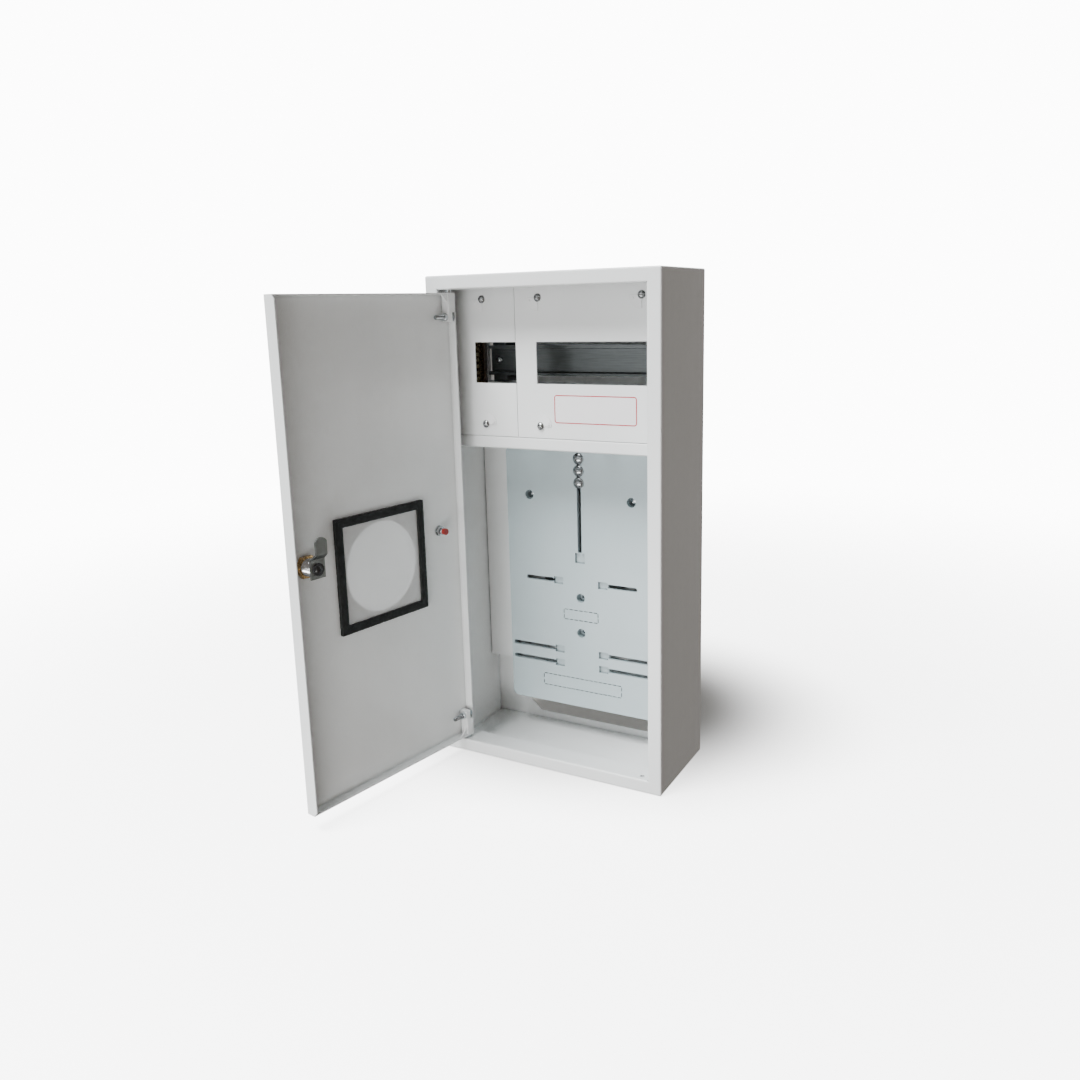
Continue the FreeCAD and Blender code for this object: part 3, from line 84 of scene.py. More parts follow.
# Painted shadow patches on the floor: centre, half sizes, turn in degrees, soft end in half sizes.
# The first is seen through the rear opening, the second through the side opening.
FLOOR_PAINTED_SHADOWS = [((-0.045, 0.085, 0.0), (0.24, 0.20, 1.0), 0.0, 1.7),
                ((-3.27, 4.97, 0.0), (0.17, 0.85, 1.0), 33.1, 1.1)]
FLOOR_SHADE_START = 0.62
FLOOR_SHADE_SHINE = 0.08
FLOOR_PAINTED_SHADOW_GREY = (0.46, 0.44, 0.41)

# Surround light: axis, lean towards it where a change starts and ends, strength before and after
SURROUND = [((0.0, 0.0, 1.0), -1.0, 1.0, 0.23, 0.17),
            ((-0.2, -0.98, 0.0), -0.2, 0.9, 0.0, 0.14),
            ((-0.486, 0.874, 0.0), 0.55, 0.85, 0.0, 0.85)]
SURROUND_WARMING = ((1.0, 0.0, 0.0), -0.2, 0.8)
SURROUND_COOL = (0.93, 0.98, 1.0)
SURROUND_WARM = (1.0, 0.89, 0.80)

# Area lights: name, place and target in metres, width and height, watts, tint
LIGHTS = [("key", (-0.60, -1.35, 2.35), (0.0, -0.1, 0.0), (1.1, 1.0), 170.0, (0.97, 0.99, 1.0)),
          ("low", (-0.05, -0.95, -0.40), (0.0, -0.1, -0.30), (0.8, 0.2), 7.0, WHITE),
          ("front", (-0.15, -1.5, -0.05), (0.0, -0.1, -0.05), (0.8, 0.5), 6.5, WHITE)]

# Dimensions of the housing and the door, in millimetres from the housing's front left
# bottom corner: x to the right, y to the back, z up; the door's are those of its closed place
MM = 0.001
WIDTH = 285.0
DEPTH = 126.0
HEIGHT = 570.0
DOOR_OPEN_ANGLE = 99.5
HINGE_X = 26.0
HINGE_Y = 8.5
DOOR_SET = 0.5
SHEET = 1.2
DOOR_SKIN = DOOR_SET + SHEET
DOOR_TOP = 551.0
COVER_FRONT = 40.0

# Hinge bolts: x of the head's end, of its seat and of the tip, and the distance from the door's
# top and bottom; PITCH and THREAD, here and below, are a thread's pitch and its depth
BOLT_HEAD_LEFT = 21.7
BOLT_SEAT = 25.1
BOLT_END = 49.5
BOLT_FROM_EDGE = 26.5
BOLT_HEX = 8.0
BOLT_RADIUS = 2.5
BOLT_PITCH = 0.8
BOLT_THREAD = 0.42

# Earth stud on the door's inner side
STUD_X = 53.5
STUD_Z = 282.0
STUD_LENGTH = 12.0
STUD_RADIUS = 3.0
STUD_PITCH = 1.0
STUD_THREAD = 0.5

# Lock barrel through the door: BORE, HEAD and RADIUS are radii, END and HEAD_HEIGHT are
# measured inwards and outwards from the door's outer side
LOCK_X = 243.5
LOCK_Z = 283.0
LOCK_BORE = 6.08
LOCK_HEAD = 11.5
LOCK_HEAD_HEIGHT = 2.6
LOCK_HEAD_ROUND = 1.2
LOCK_ROUND_STEPS = 4
LOCK_END = 19.8
LOCK_RADIUS = 9.0
LOCK_PITCH = 1.25
LOCK_THREAD = 0.62

# Chamfers at the threads' tips: length and drop of the radius
BOLT_CHAMFER = (0.5, 0.75)
STUD_CHAMFER = (0.5, 0.8)
LOCK_CHAMFER = (0.6, 0.8)

# How finely turned forms are built; the chamfer of a hexagon head is in degrees
THREAD_STEPS = 8
THREAD_COLUMNS = 48
LOCK_COLUMNS = 96
HEX_CHAMFER = 30.0
HEX_STEPS = 3
MERGE_DISTANCE = 1e-7

# Window gasket: half sizes round the window's middle, y of its rim and of its ledge for the pane
WINDOW_X = 142.5
WINDOW_Z = 260.5
GASKET_OUTER = 63.0
GASKET_STEP = 59.0
GASKET_INNER = 53.5
GASKET_CORNER = 0.8
GASKET_RIM = 5.7
GASKET_LEDGE = 3.7
GASKET_OUTER_EDGE = 0.25
GASKET_INNER_EDGE = 0.2
GASKET_SPACING = 1.5
GASKET_CORNER_STEPS = 6
GASKET_SHARP = 50.0

# Its hand-cut edge: RAGGED is how far the edge strays, a nick starts where its noise is over
# NICK_FROM, LIFT is the rim's unevenness, and each noise has its waves per millimetre and layer
GASKET_RAGGED = 0.6
GASKET_NICK_FROM = 0.25
GASKET_LIFT = 0.12
GASKET_WAVES = (0.35, 4.0)
GASKET_NICKS = (1.7, 9.0)
GASKET_LIFTS = (0.12, 2.0)

# Blank label on the right cover: its printed outline, the film's margin round it, thicknesses
LABEL_LEFT = 140.5
LABEL_RIGHT = 241.0
LABEL_LOW = 405.0
LABEL_TOP = 436.7
LABEL_CORNER = 3.2
LABEL_CORNER_STEPS = 8
LABEL_LINE = 1.2
LABEL_MARGIN = 0.9
LABEL_FILM = 0.06
LABEL_INK = 0.03

# Painted shade at the rims of plated pieces, and painted shade in crevices within a reach in metres
RIM_SHADE = 0.4
COAT_CREVICE = 0.006
COAT_CREVICE_SHADE = 0.5
BOARD_CREVICE = 0.005
BOARD_CREVICE_SHADE = 0.25

# Sockets of Blender's mix node when it mixes colours
MIX_FIRST = 6
MIX_SECOND = 7
MIX_RESULT = 2


# Node helpers
def new_material(name):
    material = bpy.data.materials.new(name)
    material.use_nodes = True
    tree = material.node_tree
    shader = tree.nodes["Principled BSDF"]
    return material, tree, shader


def add_node(tree, kind, **values):
    """A new node whose inputs and settings are given by name."""
    node = tree.nodes.new(kind)
    for key, value in values.items():
        if key in node.inputs:
            node.inputs[key].default_value = value
        else:
            setattr(node, key, value)
    return node


def object_coordinates(tree, scale=(1, 1, 1)):
    coordinates = add_node(tree, "ShaderNodeTexCoord")
    mapping = add_node(tree, "ShaderNodeMapping")
    mapping.inputs["Scale"].default_value = scale
    tree.links.new(coordinates.outputs["Object"], mapping.inputs["Vector"])
    return mapping.outputs["Vector"]


def noise(tree, vector, scale, detail=2.0, roughness=0.5):
    node = add_node(tree, "ShaderNodeTexNoise", Scale=scale, Detail=detail, Roughness=roughness)
    tree.links.new(vector, node.inputs["Vector"])
    return node.outputs["Fac"]


def spread(tree, factor, low, high):
    """The factor from 0 to 1 spread from low to high."""
    node = add_node(tree, "ShaderNodeMapRange")
    node.inputs["To Min"].default_value = low
    node.inputs["To Max"].default_value = high
    tree.links.new(factor, node.inputs["Value"])
    return node.outputs["Result"]


def smooth_step(tree, value, start, end, low, high):
    """Low while the value is under start, high when it is past end, smooth between."""
    node = add_node(tree, "ShaderNodeMapRange", interpolation_type="SMOOTHSTEP")
    node.inputs["From Min"].default_value = start
    node.inputs["From Max"].default_value = end
    node.inputs["To Min"].default_value = low
    node.inputs["To Max"].default_value = high
    tree.links.new(value, node.inputs["Value"])
    return node.outputs["Result"]


def calculate(tree, operation, first, second):
    node = add_node(tree, "ShaderNodeMath", operation=operation)
    tree.links.new(first, node.inputs[0])
    tree.links.new(second, node.inputs[1])
    return node.outputs["Value"]


def length_of(tree, vector):
    node = add_node(tree, "ShaderNodeVectorMath", operation="LENGTH")
    tree.links.new(vector, node.inputs[0])
    return node.outputs["Value"]


def shade(color, factor):
    return tuple(min(1.0, c * factor) for c in color)


def ramp(tree, factor, stops):
    """Colours by the factor, between two stops that have a place from 0 to 1 and a colour."""
    node = add_node(tree, "ShaderNodeValToRGB")
    for element, (place, color) in zip(node.color_ramp.elements, stops):
        element.position = place
        element.color = (*color, 1.0)
    tree.links.new(factor, node.inputs["Fac"])
    return node.outputs["Color"]


def tone(tree, factor, color, first, last, start=0.3, end=0.7):
    """The colour times first where the factor is under start, times last where it is past end."""
    return ramp(tree, factor, [(start, shade(color, first)), (end, shade(color, last))])


def multiply_colors(tree, first, second):
    node = add_node(tree, "ShaderNodeMix", data_type="RGBA", blend_type="MULTIPLY", Factor=1.0)
    tree.links.new(first, node.inputs[MIX_FIRST])
    tree.links.new(second, node.inputs[MIX_SECOND])
    return node.outputs[MIX_RESULT]


def paint_crevice_shade(tree, color, reach, darkest):
    """Painted shade: darkens the colour in joints, slots and corners nearer than reach."""
    near = add_node(tree, "ShaderNodeAmbientOcclusion", samples=6, only_local=False, Distance=reach)
    painted_crevice_shade = tone(tree, near.outputs["AO"], WHITE, darkest, 1.0, start=0.15, end=0.75)
    return multiply_colors(tree, color, painted_crevice_shade)


def set_color(tree, shader, color):
    tree.links.new(color, shader.inputs["Base Color"])


def set_roughness(tree, shader, factor, low, high):
    tree.links.new(spread(tree, factor, low, high), shader.inputs["Roughness"])


def bump(tree, shader, height, distance, strength):
    node = add_node(tree, "ShaderNodeBump", Strength=strength, Distance=distance)
    tree.links.new(height, node.inputs["Height"])
    tree.links.new(node.outputs["Normal"], shader.inputs["Normal"])


# Materials
def powder_coat(name, color, roughness=0.34, stretch=(1.0, 1.0, 1.0)):
    """Fine orange-peel powder coat with faint clouding, drawn out where stretch is uneven."""
    material, tree, shader = new_material(name)
    vector = object_coordinates(tree)
    clouds = noise(tree, object_coordinates(tree, stretch), scale=9.0, detail=3.0)
    tint = tone(tree, clouds, color, first=0.975, last=1.015)
    # Painted shade darkens the coat in its crevices
    set_color(tree, shader, paint_crevice_shade(tree, tint, COAT_CREVICE, COAT_CREVICE_SHADE))
    gloss = noise(tree, vector, scale=40.0)
    set_roughness(tree, shader, gloss, roughness - 0.04, roughness + 0.05)
    peel = noise(tree, vector, scale=900.0)
    bump(tree, shader, peel, distance=0.00004, strength=0.35)
    shader.inputs["Coat Weight"].default_value = 0.15
    shader.inputs["Coat Roughness"].default_value = 0.2
    return material


def moulded_plastic(name, color, roughness=0.45, crevice=None):
    """Matt plastic with a fine grain; crevice gives the reach and depth of the painted shade in its
    corners.
    """
    material, tree, shader = new_material(name)
    vector = object_coordinates(tree)
    clouds = noise(tree, vector, scale=14.0, detail=3.0)
    tint = tone(tree, clouds, color, first=0.97, last=1.02)
    if crevice:
        # Painted shade darkens the corners when crevice is given
        tint = paint_crevice_shade(tree, tint, *crevice)
    set_color(tree, shader, tint)
    gloss = noise(tree, vector, scale=60.0)
    set_roughness(tree, shader, gloss, roughness - 0.05, roughness + 0.06)
    grain = noise(tree, vector, scale=700.0)
    bump(tree, shader, grain, distance=0.00003, strength=0.5)
    return material


def plated_metal(name, color, roughness, dark, spangle):
    """Zinc, chrome or brass: small tonal patches, painted shade at the rims and a fine uneven
    polish.
    """
    material, tree, shader = new_material(name)
    vector = object_coordinates(tree)
    patches = noise(tree, vector, scale=spangle, detail=3.0, roughness=0.6)
    plate = tone(tree, patches, color, first=dark, last=1.0, start=0.35, end=0.65)
    # Painted shade: rims that turn away from the view are darkened towards RIM_SHADE
    facing = add_node(tree, "ShaderNodeLayerWeight", Blend=0.35).outputs["Facing"]
    rim = tone(tree, facing, WHITE, first=1.0, last=RIM_SHADE, start=0.15, end=0.75)
    set_color(tree, shader, multiply_colors(tree, plate, rim))
    shader.inputs["Metallic"].default_value = 1.0
    gloss = noise(tree, vector, scale=spangle * 2)
    set_roughness(tree, shader, gloss, roughness - 0.05, roughness + 0.06)
    polish = noise(tree, vector, scale=1500.0)
    bump(tree, shader, polish, distance=0.000008, strength=0.3)
    return material


def rolled_steel(name, color, roughness):
    """Passivated strip with faint lines along its length."""
    material, tree, shader = new_material(name)
    vector = object_coordinates(tree, scale=(3.0, 60.0, 60.0))
    lines = noise(tree, vector, scale=12.0, detail=4.0, roughness=0.6)
    set_color(tree, shader, tone(tree, lines, color, first=0.8, last=1.1))
    shader.inputs["Metallic"].default_value = 0.85
    set_roughness(tree, shader, lines, roughness - 0.08, roughness + 0.1)
    bump(tree, shader, lines, distance=0.00003, strength=0.4)
    return material


def clear_plastic(name, color, roughness, transmission):
    """Hazy clear sheet: part of the light goes through, the rest scatters."""
    material, tree, shader = new_material(name)
    haze = noise(tree, object_coordinates(tree), scale=25.0, detail=3.0)
    set_color(tree, shader, tone(tree, haze, color, first=0.98, last=1.0))
    set_roughness(tree, shader, haze, roughness * 0.6, roughness * 1.4)
    shader.inputs["Transmission Weight"].default_value = transmission
    shader.inputs["IOR"].default_value = 1.46
    return material


def translucent_film(name, color, cover, roughness=0.22):
    """Thin milky film that lets a little of what lies under it show."""
    material, tree, shader = new_material(name)
    haze = noise(tree, object_coordinates(tree), scale=120.0)
    set_color(tree, shader, tone(tree, haze, color, first=0.97, last=1.0))
    set_roughness(tree, shader, haze, roughness * 0.8, roughness * 1.3)
    shader.inputs["Alpha"].default_value = cover
    return material


def rubber(name, color):
    """Dull black rubber, greyer in small patches."""
    material, tree, shader = new_material(name)
    vector = object_coordinates(tree)
    patches = noise(tree, vector, scale=120.0, detail=4.0, roughness=0.6)
    set_color(tree, shader, tone(tree, patches, color, first=0.7, last=1.6, start=0.35))
    set_roughness(tree, shader, patches, 0.6, 0.85)
    shader.inputs["Specular IOR Level"].default_value = 0.25
    grain = noise(tree, vector, scale=600.0, detail=3.0)
    bump(tree, shader, grain, distance=0.00015, strength=0.6)
    return material


# One material for each slot of the record
MATERIALS = {
    "white_powder_coat": powder_coat("white_powder_coat", (0.78, 0.79, 0.785)),
    "board_plastic": moulded_plastic("board_plastic", (0.39, 0.465, 0.485), roughness=0.36,
                                     crevice=(BOARD_CREVICE, BOARD_CREVICE_SHADE)),
    "zinc_plated_steel": plated_metal("zinc_plated_steel", (0.60, 0.63, 0.64),
                                      roughness=0.24, dark=0.88, spangle=180.0),
    "dark_rail_steel": rolled_steel("dark_rail_steel", (0.105, 0.115, 0.117), roughness=0.36),
    "brass": plated_metal("brass", (0.80, 0.55, 0.26), roughness=0.26, dark=0.72, spangle=120.0),
    "brown_insulator": moulded_plastic("brown_insulator", (0.075, 0.045, 0.03), roughness=0.5),
    "clear_tab_plastic": translucent_film("clear_tab_plastic", (0.98, 0.98, 0.98), cover=0.85),
    "window_plastic": clear_plastic("window_plastic", (0.93, 0.935, 0.93),
                                    roughness=0.07, transmission=0.5),
    "black_rubber": rubber("black_rubber", (0.012, 0.013, 0.013)),
    "chromed_barrel": plated_metal("chromed_barrel", (0.66, 0.66, 0.67),
                                   roughness=0.18, dark=0.85, spangle=120.0),
    "black_plug": moulded_plastic("black_plug", (0.02, 0.021, 0.022), roughness=0.35),
    "red_cap": moulded_plastic("red_cap", (0.28, 0.02, 0.015), roughness=0.35),
}

# Materials of single nodes whose look differs from that of their slot, and the label's two
DOOR_COAT = powder_coat("door_powder_coat", (0.775, 0.785, 0.78), roughness=0.30,
                        stretch=(2.2, 2.2, 0.25))
DARK_SCREW = plated_metal("blackened_screw", (0.10, 0.10, 0.10),
                          roughness=0.3, dark=0.7, spangle=200.0)
CAM_ZINC = plated_metal("dull_zinc_cam", (0.27, 0.28, 0.27),
                        roughness=0.42, dark=0.92, spangle=90.0)
LABEL_PAPER = moulded_plastic("label_paper", (0.80, 0.78, 0.785), roughness=0.42)
LABEL_RED = moulded_plastic("label_red", (0.42, 0.012, 0.02), roughness=0.6)
BOLT_ZINC = plated_metal("bolt_zinc", (0.36, 0.38, 0.39), roughness=0.2, dark=0.8, spangle=180.0)
SCREW_ZINC = plated_metal("screw_zinc", (0.40, 0.41, 0.41), roughness=0.22, dark=0.8, spangle=180.0)
# Terminal bar: brass darkened to near black
BAR_BRASS = plated_metal("dark_brass", (0.20, 0.15, 0.085), roughness=0.45, dark=0.6, spangle=160.0)
BAR_SCREWS = plated_metal("terminal_screw_brass", (0.42, 0.36, 0.22),
                          roughness=0.3, dark=0.7, spangle=160.0)
OWN_MATERIALS = {"door_panel": DOOR_COAT, "cam_screw": DARK_SCREW, "lock_cam": CAM_ZINC,
                 "terminal_bar": BAR_BRASS, "terminal_screws": BAR_SCREWS}
OWN_MATERIALS.update({node: BOLT_ZINC for node in NODES if node.startswith("meter_bolt")})
OWN_MATERIALS.update({node: SCREW_ZINC for node in NODES if node.startswith("cover_screw")})


def dress_cad_nodes():
    """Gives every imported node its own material, or else the one of its slot in the record."""
    for row in frame["record"]["subparts"]:
        node = NODES[row["node"]]
        node.data.materials.clear()
        node.data.materials.append(OWN_MATERIALS.get(row["node"], MATERIALS[row["material_slot"]]))


# Mesh helpers
def housing_point(x, y, z):
    return Vector(((x - WIDTH / 2) * MM, (y - DEPTH) * MM, (z - HEIGHT / 2) * MM))


def door_point(x, y, z):
    """Where a point of the closed door lies now that the door stands open."""
    angle = math.radians(-DOOR_OPEN_ANGLE)
    dx = x - HINGE_X
    dy = y - HINGE_Y
    return housing_point(HINGE_X + dx * math.cos(angle) - dy * math.sin(angle),
                         HINGE_Y + dx * math.sin(angle) + dy * math.cos(angle), z)


def add_mesh(name, work, material):
    """Puts the finished work into the scene as a smoothly shaded object."""
    mesh = bpy.data.meshes.new(name)
    work.to_mesh(mesh)
    work.free()
    mesh.materials.append(material)
    for face in mesh.polygons:
        face.use_smooth = True
    piece = bpy.data.objects.new(name, mesh)
    bpy.context.scene.collection.objects.link(piece)
    return piece


def make_piece(name, work, material, body, sharp=35.0):
    """A piece that rides on a body, with its edges sharp where they turn by sharp degrees."""
    bmesh.ops.remove_doubles(work, verts=work.verts, dist=MERGE_DISTANCE)
    bmesh.ops.recalc_face_normals(work, faces=work.faces)
    piece = add_mesh(name, work, material)
    piece.data.set_sharp_from_angle(angle=math.radians(sharp))
    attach(piece, body)
    return piece


def bridge(work, rings, closed):
    """Quads between neighbouring rings of the same length."""
    pairs = list(zip(rings, rings[1:]))
    if closed:
        pairs.append((rings[-1], rings[0]))
    count = len(rings[0])
    for near, far in pairs:
        for k in range(count):
            n = (k + 1) % count
            work.faces.new((near[k], near[n], far[n], far[k]))


def lathe(work, place, rows, columns, closed=False):
    """Turned form whose points place(along, a, b) gives.

    A row is its place along and its radius, which is a number or a function of the angle.
    """
    rings = []
    for along, radius_at in rows:
        ring = []
        for k in range(columns):
            angle = 2 * math.pi * k / columns
            radius = radius_at(angle) if callable(radius_at) else radius_at
            ring.append(work.verts.new(place(along, radius * math.cos(angle),
                                             radius * math.sin(angle))))
        rings.append(ring)
    bridge(work, rings, closed)


def helix(turns, fade, radius, depth):
    """Radius by the angle where a thread has made its turns; a fade of 0 leaves only its root."""
    def radius_at(angle):
        wave = abs(2 * ((turns - angle / (2 * math.pi)) % 1.0) - 1)
        return radius - depth * (1 - fade * (1 - wave))

    return radius_at


def thread_rows(start, end, radius, pitch, depth):
    """Rows of a helical thread that fades out at both ends."""
    count = max(2, round(abs(end - start) / pitch * THREAD_STEPS))
    rows = []
    for index in range(count + 1):
        along = start + (end - start) * index / count
        fade = min(1.0, abs(along - start) / pitch, abs(end - along) / pitch)
        rows.append((along, helix(along / pitch, fade, radius, depth)))
    return rows


def threaded_tip(start, end, radius, pitch, depth, chamfer, bore=0.0):
    """Rows of a thread up to its chamfered end, and of the end's face down to the bore."""
    length, drop = chamfer
    rows = thread_rows(start, end - length, radius, pitch, depth)
    return rows + [(end, radius - drop), (end, bore)]


def hexagon(flat, limit):
    """Radius by the angle of a hexagon whose corners are cut off round at limit."""
    def radius_at(angle):
        turn = angle % (math.pi / 3) - math.pi / 6
        return min(flat / math.cos(turn), limit)

    return radius_at


def hex_rows(start, end, across):
    """Rows of a hexagon head from its closed and chamfered outer face to its seat."""
    flat = across / 2
    corner = across / math.sqrt(3.0)
    rise = (corner - flat) * math.tan(math.radians(HEX_CHAMFER))
    rows = [(start, 0.0)]
    for step in range(HEX_STEPS + 1):
        limit = flat + (corner - flat) * step / HEX_STEPS
        rows.append((start + rise * step / HEX_STEPS, hexagon(flat, limit)))
    rows.append((end, hexagon(flat, across)))
    return rows


# Threaded pieces
def make_hinge_bolts():
    """Both hinge bolts, which lie along x with their heads at the left while the door is closed."""
    work = bmesh.new()
    for z in (DOOR_TOP - BOLT_FROM_EDGE, HEIGHT - DOOR_TOP + BOLT_FROM_EDGE):
        rows = hex_rows(BOLT_HEAD_LEFT, BOLT_SEAT, BOLT_HEX)
        rows += threaded_tip(BOLT_SEAT, BOLT_END, BOLT_RADIUS, BOLT_PITCH, BOLT_THREAD, BOLT_CHAMFER)
        lathe(work, lambda along, a, b, z=z: door_point(along, HINGE_Y + a, z + b), rows,
              THREAD_COLUMNS)
    piece = make_piece("hinge_bolt_threads", work, BOLT_ZINC, "door")
    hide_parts("hinge_bolts")


def make_door_stud():
    """Earth stud that stands on the door's inner side."""
    work = bmesh.new()
    rows = [(DOOR_SKIN, 0.0)]
    rows += threaded_tip(DOOR_SKIN, DOOR_SKIN + STUD_LENGTH, STUD_RADIUS, STUD_PITCH, STUD_THREAD,
                         STUD_CHAMFER)
    lathe(work, lambda along, a, b: door_point(STUD_X + a, along, STUD_Z + b), rows, THREAD_COLUMNS)
    piece = make_piece("earth_stud_thread", work, MATERIALS["zinc_plated_steel"], "door")
    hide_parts("door_stud")


def make_lock_barrel():
    """Hollow barrel with a rounded head outside and a fine thread behind the door's sheet."""
    work = bmesh.new()
    front = -LOCK_HEAD_HEIGHT
    rows = [(front, LOCK_BORE), (front, LOCK_HEAD - LOCK_HEAD_ROUND)]
    for step in range(1, LOCK_ROUND_STEPS + 1):
        angle = math.radians(90.0 * step / LOCK_ROUND_STEPS)
        rows.append((front + LOCK_HEAD_ROUND * (1 - math.cos(angle)),
                     LOCK_HEAD - LOCK_HEAD_ROUND * (1 - math.sin(angle))))
    rows += [(0.0, LOCK_HEAD), (0.0, LOCK_RADIUS), (SHEET, LOCK_RADIUS)]
    rows += threaded_tip(SHEET, LOCK_END, LOCK_RADIUS, LOCK_PITCH, LOCK_THREAD, LOCK_CHAMFER,
                         LOCK_BORE)
    lathe(work, lambda along, a, b: door_point(LOCK_X + a, DOOR_SET + along, LOCK_Z + b), rows,
          LOCK_COLUMNS, closed=True)
    piece = make_piece("lock_barrel_thread", work, MATERIALS["chromed_barrel"], "door")
    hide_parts("lock_body")


# Window gasket, cut by hand from rubber sheet
def square_loop(half):
    """Points (a, b) round a square with rounded corners, as many for every half size."""
    points = []
    side_steps = round(2 * (GASKET_OUTER - GASKET_CORNER) / GASKET_SPACING)
    flat = half - GASKET_CORNER
    for quarter in range(4):
        turn = quarter * math.pi / 2
        local = [(half, -flat + 2 * flat * k / side_steps) for k in range(side_steps)]
        for k in range(GASKET_CORNER_STEPS):
            angle = math.pi / 2 * k / GASKET_CORNER_STEPS
            local.append((flat + GASKET_CORNER * math.cos(angle),
                          flat + GASKET_CORNER * math.sin(angle)))
        for a, b in local:
            points.append((a * math.cos(turn) - b * math.sin(turn),
                           a * math.sin(turn) + b * math.cos(turn)))
    return points


def ripple(a, b, waves):
    """Smooth noise from about -1 to 1 over the gasket's plane."""
    per_mm, layer = waves
    return field.noise(Vector((a * per_mm, b * per_mm, layer)))


def make_gasket():
    """Square gasket with a step for the pane; its cut edges pull in raggedly."""
    work = bmesh.new()
    middle = (GASKET_LEDGE + GASKET_RIM) / 2
    # Half size, depth and share of the raggedness at each corner of the section
    section = [(GASKET_OUTER, DOOR_SKIN, 1.0),
               (GASKET_OUTER, GASKET_RIM - GASKET_OUTER_EDGE, 1.0),
               (GASKET_OUTER - GASKET_OUTER_EDGE, GASKET_RIM, 0.8),
               (GASKET_INNER + GASKET_INNER_EDGE, GASKET_RIM, 0.35),
               (GASKET_INNER, GASKET_RIM - GASKET_INNER_EDGE, 0.4),
               (GASKET_INNER, GASKET_LEDGE, 0.4),
               (GASKET_STEP, GASKET_LEDGE, 0.0),
               (GASKET_STEP, DOOR_SKIN, 0.0)]
    rings = []
    for half, depth, ragged in section:
        ring = []
        for a, b in square_loop(half):
            wave = ripple(a, b, GASKET_WAVES) * GASKET_RAGGED
            nick = max(0.0, ripple(a, b, GASKET_NICKS) - GASKET_NICK_FROM) * GASKET_RAGGED
            pull = 1 - ragged * (abs(wave) + nick) / half
            lift = ripple(a, b, GASKET_LIFTS) * GASKET_LIFT if depth > middle else 0
            ring.append(work.verts.new(door_point(WINDOW_X + a * pull, depth + lift,
                                                  WINDOW_Z + b * pull)))
        rings.append(ring)
    bridge(work, rings, True)
    piece = make_piece("window_gasket_rubber", work, MATERIALS["black_rubber"], "door",
                       GASKET_SHARP)
    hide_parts("window_gasket")


# Blank label
def rounded_loop(left, right, low, top, corner):
    """Points (x, z) round a rectangle with rounded corners."""
    points = []
    for quarter, (x, z) in enumerate(((right, top), (left, top), (left, low), (right, low))):
        cx = x - corner if x == right else x + corner
        cz = z - corner if z == top else z + corner
        for k in range(LABEL_CORNER_STEPS + 1):
            angle = math.pi / 2 * (quarter + k / LABEL_CORNER_STEPS)
            points.append((cx + corner * math.cos(angle), cz + corner * math.sin(angle)))
    return points


def make_label():
    """Blank sticker: a thin film and a printed outline with rounded corners."""
    film = bmesh.new()
    edge = rounded_loop(LABEL_LEFT - LABEL_MARGIN, LABEL_RIGHT + LABEL_MARGIN,
                        LABEL_LOW - LABEL_MARGIN, LABEL_TOP + LABEL_MARGIN,
                        LABEL_CORNER + LABEL_MARGIN)
    back = [film.verts.new(housing_point(x, COVER_FRONT, z)) for x, z in edge]
    front = [film.verts.new(housing_point(x, COVER_FRONT - LABEL_FILM, z)) for x, z in edge]
    bridge(film, [back, front], False)
    film.faces.new(front)
    film.faces.new(back[::-1])
    make_piece("label_film", film, LABEL_PAPER, "root")
    ink = bmesh.new()
    rings = []
    for inset, depth in ((0.0, LABEL_FILM), (0.0, LABEL_FILM + LABEL_INK),
                         (LABEL_LINE, LABEL_FILM + LABEL_INK), (LABEL_LINE, LABEL_FILM)):
        loop = rounded_loop(LABEL_LEFT + inset, LABEL_RIGHT - inset, LABEL_LOW + inset,
                            LABEL_TOP - inset, LABEL_CORNER - inset)
        rings.append([ink.verts.new(housing_point(x, COVER_FRONT - depth, z)) for x, z in loop])
    bridge(ink, rings, True)
    make_piece("label_outline", ink, LABEL_RED, "root")


# Stage: floor, backdrop, light and camera
def seen_by_camera_only(piece):
    """Keeps the bright paper from bouncing light on the part, as black flags would."""
    piece.visible_diffuse = False
    piece.visible_glossy = False
    piece.visible_transmission = False
    piece.visible_shadow = False


def distance_from_shade(tree, coordinates, centre, half, turn):
    """How far a point of the floor is from a painted shadow patch's centre, in its half sizes."""
    place = add_node(tree, "ShaderNodeMapping", vector_type="TEXTURE")
    place.inputs["Location"].default_value = centre
    place.inputs["Rotation"].default_value = (0.0, 0.0, math.radians(turn))
    place.inputs["Scale"].default_value = half
    tree.links.new(coordinates, place.inputs["Vector"])
    flat = add_node(tree, "ShaderNodeVectorMath", operation="MULTIPLY")
    flat.inputs[1].default_value = (1.0, 1.0, 0.0)
    tree.links.new(place.outputs["Vector"], flat.inputs[0])
    return length_of(tree, flat.outputs["Vector"])


